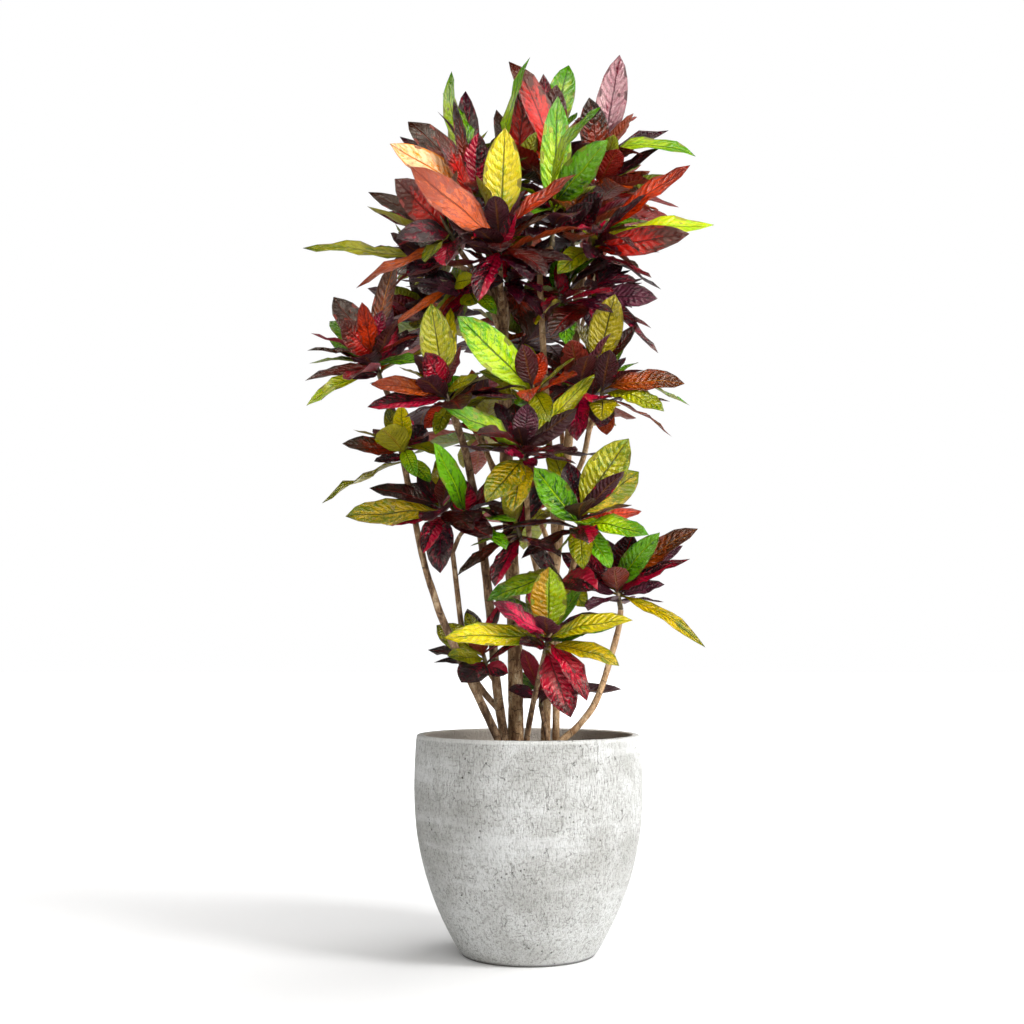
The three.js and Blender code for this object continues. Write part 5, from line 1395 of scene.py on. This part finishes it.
def leaf_finish():
    graph, surface, material = finish("croton_leaf", Coat_Roughness=0.2, Specular_IOR_Level=0.42)
    across, level, along = graph.parts(carried(graph, "blade"))
    reach = graph.maths("ABSOLUTE", across)
    blotches, veining, margin = graph.parts(carried(graph, "shares"))
    half, tip, gloss = graph.parts(carried(graph, "more"))
    seed = carried(graph, "seed", 2)
    ground, second, veins, beneath = [
        carried(graph, name, 0) for name in ("ground", "second", "veins", "beneath")
    ]

    spot = graph.join(across * 1.7 + seed * 3.7, along * 5.2 - reach * 1.2, seed * 11)
    patches = graph.noise(spot, 1.5, 3.0, 0.55)
    speckle = graph.noise(spot, 9.0, 3.0, 0.7)
    sway = (graph.noise(spot, 2.2, 2.0) - 0.5) * VEIN_SWAY
    stagger = graph.maths("SIGN", across) * VEIN_STAGGER
    run = along * VEIN_PAIRS - reach ** 1.5 * VEIN_SLANT + stagger + sway
    slot = graph.maths("ABSOLUTE", graph.maths("FRACT", run) - 0.5) * 2
    fade = (1 - reach.ranged(0.45, 0.95)) * (patches * 1.6 - 0.1)
    side_veins = (1 - slot.ranged(0.0, VEIN_WIDTH)) * fade
    midrib = 1 - reach.ranged(*MIDRIB_REACH)

    towards_tip = graph.maths("MAXIMUM", tip, 0.0) * (along.ranged(0.35, 1.0) + reach * 0.25 - 0.1)
    towards_foot = graph.maths("MINIMUM", tip, 0.0) * -1.0 * (1 - along.ranged(0.1, 0.75)) * (1.25 - reach)
    spread = blotches * 0.6 + towards_tip * 0.5 + towards_foot * 0.62 + (slot - 0.5) * 0.06
    blotched = (patches + (speckle - 0.5) * 1.1 + spread).ranged(0.68, 0.92)
    one_half = (across * half + (patches - 0.5) * 0.5).ranged(0.0, 0.2)
    edge = (reach + (speckle - 0.5) * 0.3).ranged(0.8, 1.02) * margin

    # painted light and shade: patches for gloss and ripples, lighter between veins, darker at the margin
    light = (patches - 0.5) * 1.3 + (speckle - 0.5) * 1.3 + slot * 0.2 + 0.93
    light = light * (1 - reach.ranged(0.94, 1.0) * 0.4)
    light = graph.join(light, light, light)
    colour = graph.blend(graph.maths("MAXIMUM", blotched, one_half), ground, second)
    colour = graph.blend(edge, colour, second)
    colour = graph.blend(side_veins * veining * 0.9, colour, veins)
    colour = graph.blend(midrib * (veining * 0.4 + 0.5), colour, veins)
    colour = graph.blend(1.0, colour, light, "MULTIPLY")
    colour = coats(graph, colour, [((1 - along.ranged(*STALK_END)) * 0.8, STALK_PAINT)])
    ribs = side_veins * 0.7 + (1 - reach.ranged(0.03, 0.14))
    beneath = graph.blend(0.5, beneath, graph.blend(0.5, ground, SHADOW))
    beneath = coats(graph, beneath, [(ribs * 0.3, RIB_PAINT)])
    # the same painted light and shade on the underside
    beneath = graph.blend(1.0, beneath, light, "MULTIPLY")
    under = 1 - level.ranged(-0.06, -0.02)
    vivid = {
        "Saturation": SATURATION,
        "Value": BRIGHTNESS,
        "Color": graph.blend(under, colour, beneath),
    }
    colour = graph.add("ShaderNodeHueSaturation", (), vivid)
    roughness = under * 0.3 + speckle * 0.2 - gloss * 0.08 + 0.13
    graph.feed(surface.inputs["Coat Weight"], (1 - under) * gloss * 0.1)
    quilted = slot * (1 - reach.ranged(0.85, 1.0)) * (gloss * 0.45 + 0.3) * (patches * 1.6 + 0.2)
    relief = quilted - midrib * 0.7 + speckle * 0.38 + patches
    dressed(graph, surface, colour, roughness, relief, 1.0, LEAF_RELIEF)
    return material


def stem_finish():
    """Young stems are brown-green, with the pale scars of fallen leaves."""
    graph, surface, material = finish("young stem")
    place = object_place(graph)
    grain, scars = graph.noise(place, 240.0, 3.0), graph.noise(place, 95.0, 1.0)
    colour = graph.blend(grain.ranged(0.35, 0.65), srgb(70, 56, 32), srgb(108, 92, 52))
    colour = coats(graph, colour, [(scars.ranged(0.56, 0.62), (156, 136, 104))])
    dressed(graph, surface, colour, grain * 0.3 + 0.45, scars + grain * 0.4, 0.5, 1.0)
    return material


# %% Make the leafy shoots
tree, leaf_material, stem_material = shoot_tree(), leaf_finish(), stem_finish()

corners = 0
for name, shoot in shoots.items():
    values = {
        "Foot": tuple(shoot["start"] * MM),
        "Bud": tuple(shoot["bud"] * MM),
        "Leaf Finish": leaf_material,
        "Stem Finish": stem_material,
    }
    piece = grown_mesh(name + "_leaves", leaf_points_mesh(name, shoot), tree, values)
    corners += len(piece.data.vertices)
    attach(piece, "root")
    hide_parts(name)
    leaf_slot(name)
print(len(shoots), "leafy shoots with", corners, "corners")

# %% [markdown]
# ## The canes
# Old croton wood is bare, grey to tan, and ringed with the scars of leaves that have dropped. The canes
# lean, bend and branch, and swell a little at each old whorl. A cane could be a plain bent cylinder, but it
# would look like pipe. Here its route is a chain of edges, which Geometry Nodes turn into a smooth curve
# and wrap with a ring of varying size. Each corner carries how far along the cane it is, so the scars can
# run round it.

# %% The tree that makes a cane
def cane_tree():
    graph, given = shape_tree("cane", {
        "Sides": ("Int", 14), "Step": ("Float", 6 * MM),
        "Lumps": ("Float", 0.16), "Lump Scale": ("Float", 38.0),
        "Finish": ("Material", None),
    })
    curve = graph.add("GeometryNodeMeshToCurve", (), {"Mesh": given["Geometry"]})
    curve = graph.add("GeometryNodeCurveSplineType", {"spline_type": "CATMULL_ROM"}, {"Curve": curve})
    inputs = {"Curve": curve, "Length": given["Step"]}
    curve = graph.add("GeometryNodeResampleCurve", {"mode": "LENGTH"}, inputs)
    along = graph.add("GeometryNodeSplineParameter", (), (), 1)
    curve = store(graph, curve, "along", "FLOAT", along)
    lumps = graph.noise(graph.add("GeometryNodeInputPosition"), given["Lump Scale"], 2.0)
    radius = field(graph, "thickness", "FLOAT") * (1 + (lumps - 0.5) * given["Lumps"] * 2)
    wood = joined_up(graph, wrapped(graph, curve, given["Sides"], radius))
    return end_tree(graph, (wood, given["Finish"]))


def route_mesh(name):
    """The branches of a cane as chains of edges that carry the cane's thickness."""
    points, edges, radii = [], [], []
    for _, from_radius, to_radius, path in cane_branches(name):
        first = len(points)
        points += [tuple(place * MM) for place in path]
        edges += [(first + k, first + k + 1) for k in range(len(path) - 1)]
        radii += [mix(from_radius, to_radius, k / (len(path) - 1)) * MM for k in range(len(path))]
    mesh = bpy.data.meshes.new(name)
    mesh.from_pydata(points, edges, [])
    mesh.attributes.new("thickness", "FLOAT", "POINT").data.foreach_set("value", radii)
    return mesh


SCARS_PER_METRE = 46.0


def bark_finish(name, dark, main, pale, scar):
    """Bark with fine cracks along the cane, patches, and scars that run round it."""
    graph, surface, material = finish(name, Specular_IOR_Level=0.3)
    place = object_place(graph)
    x, y, z = graph.parts(place)
    long_ways = graph.join(x, y, z * 0.3)
    patches = graph.noise(long_ways, 95.0, 5.0, 0.65)
    cracks = graph.noise(long_ways, 480.0, 4.0, 0.7)
    specks = graph.noise(place, 260.0, 4.0, 0.7)
    wobble = graph.noise(place, 60.0, 2.0)
    run = carried(graph, "along", 2) * SCARS_PER_METRE + wobble * 0.9
    ring = graph.maths("ABSOLUTE", graph.maths("FRACT", run) - 0.5) * 2
    rings = (1 - ring.ranged(0.0, 0.13)) * graph.noise(place, 75.0, 1.0).ranged(0.42, 0.56)
    colour = coats(graph, srgb(*dark), [
        (patches.ranged(0.38, 0.56), main),
        (patches.ranged(0.55, 0.66) * 0.85, pale),
        (specks.ranged(0.44, 0.3), scar),
        (cracks.ranged(0.5, 0.34) * 0.7, dark),
        (rings * 0.75, scar),
    ])
    relief = cracks * 0.7 + rings * 0.9 + patches * 0.5 + specks * 0.5
    dressed(graph, surface, colour, cracks * 0.3 + 0.6, relief, 0.9, 1.6)
    return material


# %% Make the canes
BARKS = {
    # dark, main, pale and scar colours, then the slot and the canes that have this bark
    "old bark": [
        [(84, 58, 38), (150, 118, 86), (198, 172, 138), (46, 30, 20)],
        "bark_dark", ["cane_left", "cane_twin", "cane_low", "cane_stub"],
    ],
    "trunk bark": [
        [(96, 66, 40), (172, 138, 100), (218, 198, 162), (54, 38, 24)],
        "bark_dark", ["trunk"],
    ],
    "young bark": [
        [(142, 104, 68), (204, 168, 126), (232, 208, 172), (84, 58, 38)],
        "bark_light", ["cane_second", "cane_mid", "cane_right"],
    ],
}
tree = cane_tree()
for bark, (colours, slot, canes) in BARKS.items():
    material = bark_finish(bark, *colours)
    for name in canes:
        piece = grown_mesh(name + "_wood", route_mesh(name), tree, {"Finish": material})
        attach(piece, "root")
        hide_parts(name)
        print(name, len(piece.data.vertices), "corners")

# %% [markdown]
# ## The pot
# The pot is a tall round bowl cast in a pale mixture of cement and stone dust, with a rough, hand-worked
# skin: fine upright strokes, pits and hairline cracks. Its finish paints a paler band round the lip as a
# highlight, and a dark band at the foot as shade. A lathe is the natural way to make the pot. The profile
# is turned in small steps, and each corner is pushed in a little by a cloud, because a cast pot is never
# quite round.

# %% Turn the pot
POT_TURNS = 120
POT_RINGS = 44
WALL_UNEVEN = 0.9
CLOUD_SCALE = 0.016
FINE_CLOUD_SCALE = 0.07
FINE_CLOUD_SHARE = 0.3


def pot_radius(z):
    below = max(0.0, (POT["belly_height"] - z) / POT["belly_height"])
    above = max(0.0, (z - POT["belly_height"]) / (POT["height"] - POT["belly_height"]))
    taper = (POT["belly"] - POT["base"]) * below ** POT["taper"]
    return POT["belly"] - taper - (POT["belly"] - POT["rim"]) * above ** 2


def rounded(centre_radius, centre_z, radius, from_degrees, to_degrees, steps=5):
    turns = [math.radians(mix(from_degrees, to_degrees, k / steps)) for k in range(steps + 1)]
    return [(centre_radius + radius * math.cos(a), centre_z + radius * math.sin(a)) for a in turns]


def cloud(place, scale):
    """A number from 0 to 1 that changes slowly from place to place."""
    return 0.5 + 0.5 * clouds.noise(Vector(place) * scale)


def lathe(name, profile, turns, uneven=0.0):
    """Turns a profile of (radius, z) about Z. It starts and ends on the axis."""
    points, faces = [(0.0, 0.0, profile[0][1] * MM)], []
    rings = profile[1:-1]
    for radius, z in rings:
        for k in range(turns):
            angle = 2 * math.pi * k / turns
            x, y = radius * math.cos(angle), radius * math.sin(angle)
            push = uneven * cloud((x, y, z), CLOUD_SCALE)
            push += uneven * FINE_CLOUD_SHARE * cloud((x, y, z), FINE_CLOUD_SCALE)
            shrink = (radius - push) / radius
            points.append((x * shrink * MM, y * shrink * MM, z * MM))
    points.append((0.0, 0.0, profile[-1][1] * MM))
    for ring in range(len(rings) - 1):
        for k in range(turns):
            a, b = 1 + ring * turns + k, 1 + ring * turns + (k + 1) % turns
            faces.append((a, b, b + turns, a + turns))
    last = 1 + (len(rings) - 1) * turns
    for k in range(turns):
        after = (k + 1) % turns
        faces += [(0, 1 + after, 1 + k), (last + k, last + after, len(points) - 1)]
    mesh = bpy.data.meshes.new(name)
    mesh.from_pydata(points, [], faces)
    mesh.shade_smooth()
    piece = bpy.data.objects.new(name, mesh)
    bpy.context.scene.collection.objects.link(piece)
    return piece


edge = POT["edge"]
outer_wall = [mix(edge, POT["height"] - edge, k / POT_RINGS) for k in range(POT_RINGS + 1)]
inner_wall = [mix(POT["height"] - edge, POT["floor"], k / POT_RINGS) for k in range(POT_RINGS + 1)]
inside_rim = POT["rim"] - POT["wall"]
pot_profile = [(0, 0), (POT["base"] - 3 * edge, 0)]
pot_profile += rounded(POT["base"] - edge, edge, edge, -90, -20)
pot_profile += [(pot_radius(z), z) for z in outer_wall[1:-1]]
pot_profile += rounded(POT["rim"] - edge, POT["height"] - edge, edge, 0, 90)
pot_profile += rounded(inside_rim + edge, POT["height"] - edge, edge, 90, 180)
pot_profile += [(pot_radius(z) - POT["wall"], z) for z in inner_wall[1:]] + [(0, POT["floor"])]
pot = lathe("stone_pot", pot_profile, POT_TURNS, WALL_UNEVEN)
print("pot of", len(pot.data.polygons), "faces")

# %% The finish of the pot
# the band on the lip, as heights in metres, that is painted paler as its highlight
RIM_HIGHLIGHT_BAND = (0.374, 0.377)
# the band at the foot that is painted dark as the shade under the rounded bottom edge
FOOT_SHADE_BAND = (0.007, 0.001)
INSIDE_FROM = 0.25
INSIDE_WALL = (0.186, 0.189)


def pot_finish():
    graph, surface, material = finish("cast stone", Specular_IOR_Level=0.25)
    place = object_place(graph)
    x, y, z = graph.parts(place)
    strokes = graph.noise(graph.join(x, y, z * 0.3), 250.0, 3.0, 0.65)
    hatching = graph.noise(graph.join(x, y, z * 0.3), 560.0, 3.0, 0.7)
    combed = graph.noise(graph.join(x * 0.35, y * 0.35, z), 330.0, 2.0, 0.6)
    # paler and darker cloudy patches in the pot's tone
    patchy_tone = graph.noise(graph.join(x + 0.3, y, z), 7.0, 4.0, 0.6)
    bands = graph.noise(graph.join(x * 0.12, y * 0.12, z), 24.0, 3.0, 0.6)
    inputs = {"Vector": place, "Scale": 95.0, "Randomness": 1.0}
    pits = graph.add("ShaderNodeTexVoronoi", {"feature": "F1"}, inputs)
    pits = (1 - pits.ranged(0.1, 0.2)) * graph.noise(place, 22.0, 3.0, 0.6).ranged(0.54, 0.62)
    bent = place + graph.noise(place, 40.0, 3.0, 0.6, output=1) * 0.03
    inputs = {"Vector": bent, "Scale": 40.0}
    cells = graph.add("ShaderNodeTexVoronoi", {"feature": "DISTANCE_TO_EDGE"}, inputs)
    cracks = (1 - cells.ranged(0.0, 0.03)) * graph.noise(place, 45.0, 2.0).ranged(0.58, 0.64)
    out = graph.add("ShaderNodeVectorMath", {"operation": "LENGTH"}, (graph.join(x, y, 0.0),), 1)
    inside = graph.maths("GREATER_THAN", z, INSIDE_FROM) * (1 - out.ranged(*INSIDE_WALL))
    colour = coats(graph, srgb(182, 182, 178), [
        (patchy_tone.ranged(0.34, 0.66), (216, 217, 215)),
        (strokes.ranged(0.52, 0.3) * 0.6, (130, 129, 124)),
        (hatching.ranged(0.5, 0.32) * 0.7, (124, 122, 116)),
        (combed.ranged(0.44, 0.3) * 0.5, (120, 118, 112)),
        (bands.ranged(0.52, 0.7) * 0.5, (226, 227, 226)),
        (cracks * 0.6, (98, 94, 88)),
        (pits * 0.7, (74, 70, 64)),
        # painted highlight on the rounded lip
        (z.ranged(*RIM_HIGHLIGHT_BAND) * 0.5, (226, 226, 222)),
        (inside * 0.7, (200, 188, 174)),
        # painted shade at the foot
        (z.ranged(*FOOT_SHADE_BAND) * 0.8, (58, 55, 50)),
    ])
    relief = strokes * 1.3 + hatching * 1.0 + combed * 0.6 + bands * 0.5 - pits * 1.6 - cracks * 0.8
    dressed(graph, surface, colour, strokes * 0.15 + 0.78, relief, 1.0, 2.6)
    return material


pot.data.materials.append(pot_finish())
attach(pot, "root")
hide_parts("pot")

# %% [markdown]
# ## The soil
# The pot is filled to a few centimetres under its rim with dark potting soil, which domes a little round
# the canes. A flat disc would give it away. Geometry Nodes lift the disc by a cloud and scatter crumbs of a
# few faces each over the top, with a fixed seed, so every run gives the same soil.

# %% Fill in the soil
SOIL_FOOT = 300
SOIL_STEPS = 26
SOIL_TURNS = 64
SOIL_DIP = 5
CRUMB_LEAST = (0.3, 0.3, 0.25)
CRUMB_MOST = (1.4, 1.1, 0.8)
ANY_WAY = (6.28, 6.28, 6.28)


def soil_blank():
    """The filling as a turned solid with fine rings on top."""
    reach = pot_radius(SOIL["top"]) - POT["wall"] - GAP
    side = SOIL["top"] - SOIL_DIP
    profile = [(0, SOIL_FOOT), (pot_radius(SOIL_FOOT) - POT["wall"] - GAP, SOIL_FOOT), (reach, side)]
    for k in range(SOIL_STEPS):
        radius = mix(reach, 0, k / SOIL_STEPS)
        rise = min(1.0, (reach - radius) / (reach - SOIL["crown_radius"]))
        profile.append((radius, side + SOIL["crown"] * rise))
    return lathe("soil blank", profile + [(0, side + SOIL["crown"])], SOIL_TURNS)


def soil_tree():
    graph, given = shape_tree("soil", {
        "Roughness": ("Float", 4 * MM), "Density": ("Float", 9000.0), "Crumb": ("Float", 2.6 * MM),
        "Top": ("Float", (SOIL["top"] - 9) * MM), "Seed": ("Int", 4), "Finish": ("Material", None),
    })
    place = graph.add("GeometryNodeInputPosition")
    on_top = graph.maths("GREATER_THAN", graph.part(place, 2), given["Top"])
    rise = (graph.noise(place, 40.0, 4.0, 0.6) - 0.5) * given["Roughness"] * 2
    inputs = {"Geometry": given["Geometry"], "Selection": on_top, "Offset": graph.join(0.0, 0.0, rise)}
    ground = graph.add("GeometryNodeSetPosition", (), inputs)
    inputs = {"Mesh": ground, "Selection": on_top, "Density": given["Density"], "Seed": given["Seed"]}
    points = graph.add("GeometryNodeDistributePointsOnFaces", {"distribute_method": "RANDOM"}, inputs)
    inputs = {"Radius": given["Crumb"], "Subdivisions": 1}
    crumb = graph.add("GeometryNodeMeshIcoSphere", (), inputs)
    inputs = {"Min": (0.0, 0.0, 0.0), "Max": ANY_WAY, "Seed": given["Seed"]}
    rotation = graph.add("FunctionNodeRandomValue", {"data_type": "FLOAT_VECTOR"}, inputs)
    inputs = {"Min": CRUMB_LEAST, "Max": CRUMB_MOST, "Seed": given["Seed"] + 1}
    scale = graph.add("FunctionNodeRandomValue", {"data_type": "FLOAT_VECTOR"}, inputs)
    inputs = {"Points": points, "Instance": crumb, "Rotation": rotation, "Scale": scale}
    crumbs = joined_up(graph, graph.add("GeometryNodeInstanceOnPoints", (), inputs))
    return end_tree(graph, (ground, given["Finish"]), (crumbs, given["Finish"]))


def soil_finish():
    graph, surface, material = finish("potting soil")
    place = object_place(graph)
    grains, patches = graph.noise(place, 330.0, 3.0), graph.noise(place, 60.0, 3.0)
    colour = graph.blend(grains.ranged(0.3, 0.7), srgb(34, 25, 18), srgb(84, 64, 46))
    colour = coats(graph, colour, [(patches.ranged(0.58, 0.72) * 0.6, (120, 98, 72))])
    dressed(graph, surface, colour, grains * 0.2 + 0.8, grains + patches, 0.8, 1.5)
    return material


blank = soil_blank()
soil = grown_mesh("soil_filling", blank.data, soil_tree(), {"Finish": soil_finish()})
bpy.data.objects.remove(blank)
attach(soil, "root")
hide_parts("soil")
print("soil of", len(soil.data.polygons), "faces")

# %% [markdown]
# ## Floor, light and camera
# The plant stands on a plain white studio floor that runs out to a white background. A tent of soft light
# comes mostly from the front right and from above, as in the photograph, so the pot's left side falls into
# shade and its shadow lies softly to the left. A tent alone would make the leaves look waxy. So glossy
# surfaces don't see it, and warm lamps that only they see draw clear highlights. The camera stands a little
# above the pot's rim, a long way off, and looks up a little.

# %% Floor
FLOOR_SIZE = 60
FLOOR_PAINT = (0.84, 0.84, 0.84, 1)
GLOW_FROM = (0.5, 0.1)
GLOW_TO = (3.0, 0.75)

bpy.ops.mesh.primitive_plane_add(size=FLOOR_SIZE)
floor = bpy.context.object
floor.name = "studio_floor"
graph, surface, paint = finish("white floor", Base_Color=FLOOR_PAINT, Roughness=0.8, Emission_Strength=0.8)
spot = graph.add("ShaderNodeTexCoord", (), (), 3)
away = graph.add("ShaderNodeVectorMath", {"operation": "LENGTH"}, (spot,), 1)
glow = away.ranged(GLOW_FROM[0], GLOW_TO[0], GLOW_FROM[1], GLOW_TO[1])
graph.feed(surface.inputs["Emission Color"], graph.join(glow, glow, glow))
floor.data.materials.append(paint)

# %% Light
WHITE = (1, 1, 1, 1)
LIGHT_FROM = (1.0, -0.45, 0.7)
# where the tent turns from dark to light, as the cosine of the way to the light, and how light it is there
DARK_SIDE = (-0.3, 0.04)
LIGHT_SIDE = (0.95, 1.35)
TOP_BOX = (0.15, 0.25, 0.95)
TOP_BOX_REACH = (0.97, 0.99)
TOP_BOX_STRENGTH = 7.0

world = bpy.data.worlds.new("studio")
bpy.context.scene.world = world
world.use_nodes = True
world.cycles_visibility.glossy = False
graph = Graph(world.node_tree)
for node in list(world.node_tree.nodes):
    world.node_tree.nodes.remove(node)
way = graph.add("ShaderNodeTexCoord")


def facing(direction):
    """How much a way out of the scene goes towards a direction, from -1 to 1."""
    towards = tuple(Vector(direction).normalized())
    return graph.add("ShaderNodeVectorMath", {"operation": "DOT_PRODUCT"}, (way, towards), 1)


strength = facing(LIGHT_FROM).ranged(DARK_SIDE[0], LIGHT_SIDE[0], DARK_SIDE[1], LIGHT_SIDE[1])
strength = strength + facing(TOP_BOX).ranged(*TOP_BOX_REACH, 0.0, TOP_BOX_STRENGTH)
tent = graph.add("ShaderNodeBackground", (), {"Color": WHITE, "Strength": strength})
backdrop = graph.add("ShaderNodeBackground", (), {"Color": WHITE, "Strength": 1.0})
seen = graph.add("ShaderNodeLightPath")
both = graph.add("ShaderNodeMixShader", (), (seen, tent, backdrop))
graph.add("ShaderNodeOutputWorld", (), (both,))

LAMPS = {
    # place, width, height, watts
    "key soft box": [(2.4, -1.5, 2.3), 0.9, 1.0, 94],
    "glint strip": [(0.3, -1.75, 3.1), 0.25, 3.0, 110],
    "glint left": [(-2.1, -1.7, 2.3), 0.3, 2.2, 80],
    "glint right": [(1.7, -2.2, 2.2), 0.3, 2.2, 100],
    "glint behind left": [(-2.0, 1.4, 2.6), 0.9, 0.9, 22],
    "glint behind right": [(2.0, 1.6, 2.4), 0.9, 0.9, 22],
}
GLINT_COLOUR = (1.0, 0.9, 0.74)
AIM = Vector((0, 0, 0.95))
for name, (place, width, height, watts) in LAMPS.items():
    lamp = bpy.data.lights.new(name, "AREA")
    lamp.shape, lamp.size, lamp.size_y, lamp.energy = "RECTANGLE", width, height, watts
    box = bpy.data.objects.new(name, lamp)
    bpy.context.scene.collection.objects.link(box)
    box.location = place
    box.rotation_euler = (AIM - box.location).to_track_quat("-Z", "Y").to_euler()
    if name.startswith("glint"):
        box.visible_diffuse = False
        lamp.color = GLINT_COLOUR

# %% Camera
CAMERA_PLACE = (0, -2.5, 0.53)
CAMERA_TILT = 95.72
CAMERA_TURN = 0.664
CAMERA_LENS = 48.55
CAMERA_SENSOR = 36

camera = bpy.data.objects.new("camera", bpy.data.cameras.new("camera"))
bpy.context.scene.collection.objects.link(camera)
camera.location = CAMERA_PLACE
camera.rotation_euler = (math.radians(CAMERA_TILT), 0, math.radians(CAMERA_TURN))
camera.data.lens, camera.data.sensor_width = CAMERA_LENS, CAMERA_SENSOR
bpy.context.scene.camera = camera
bpy.context.scene.view_settings.view_transform = "Standard"
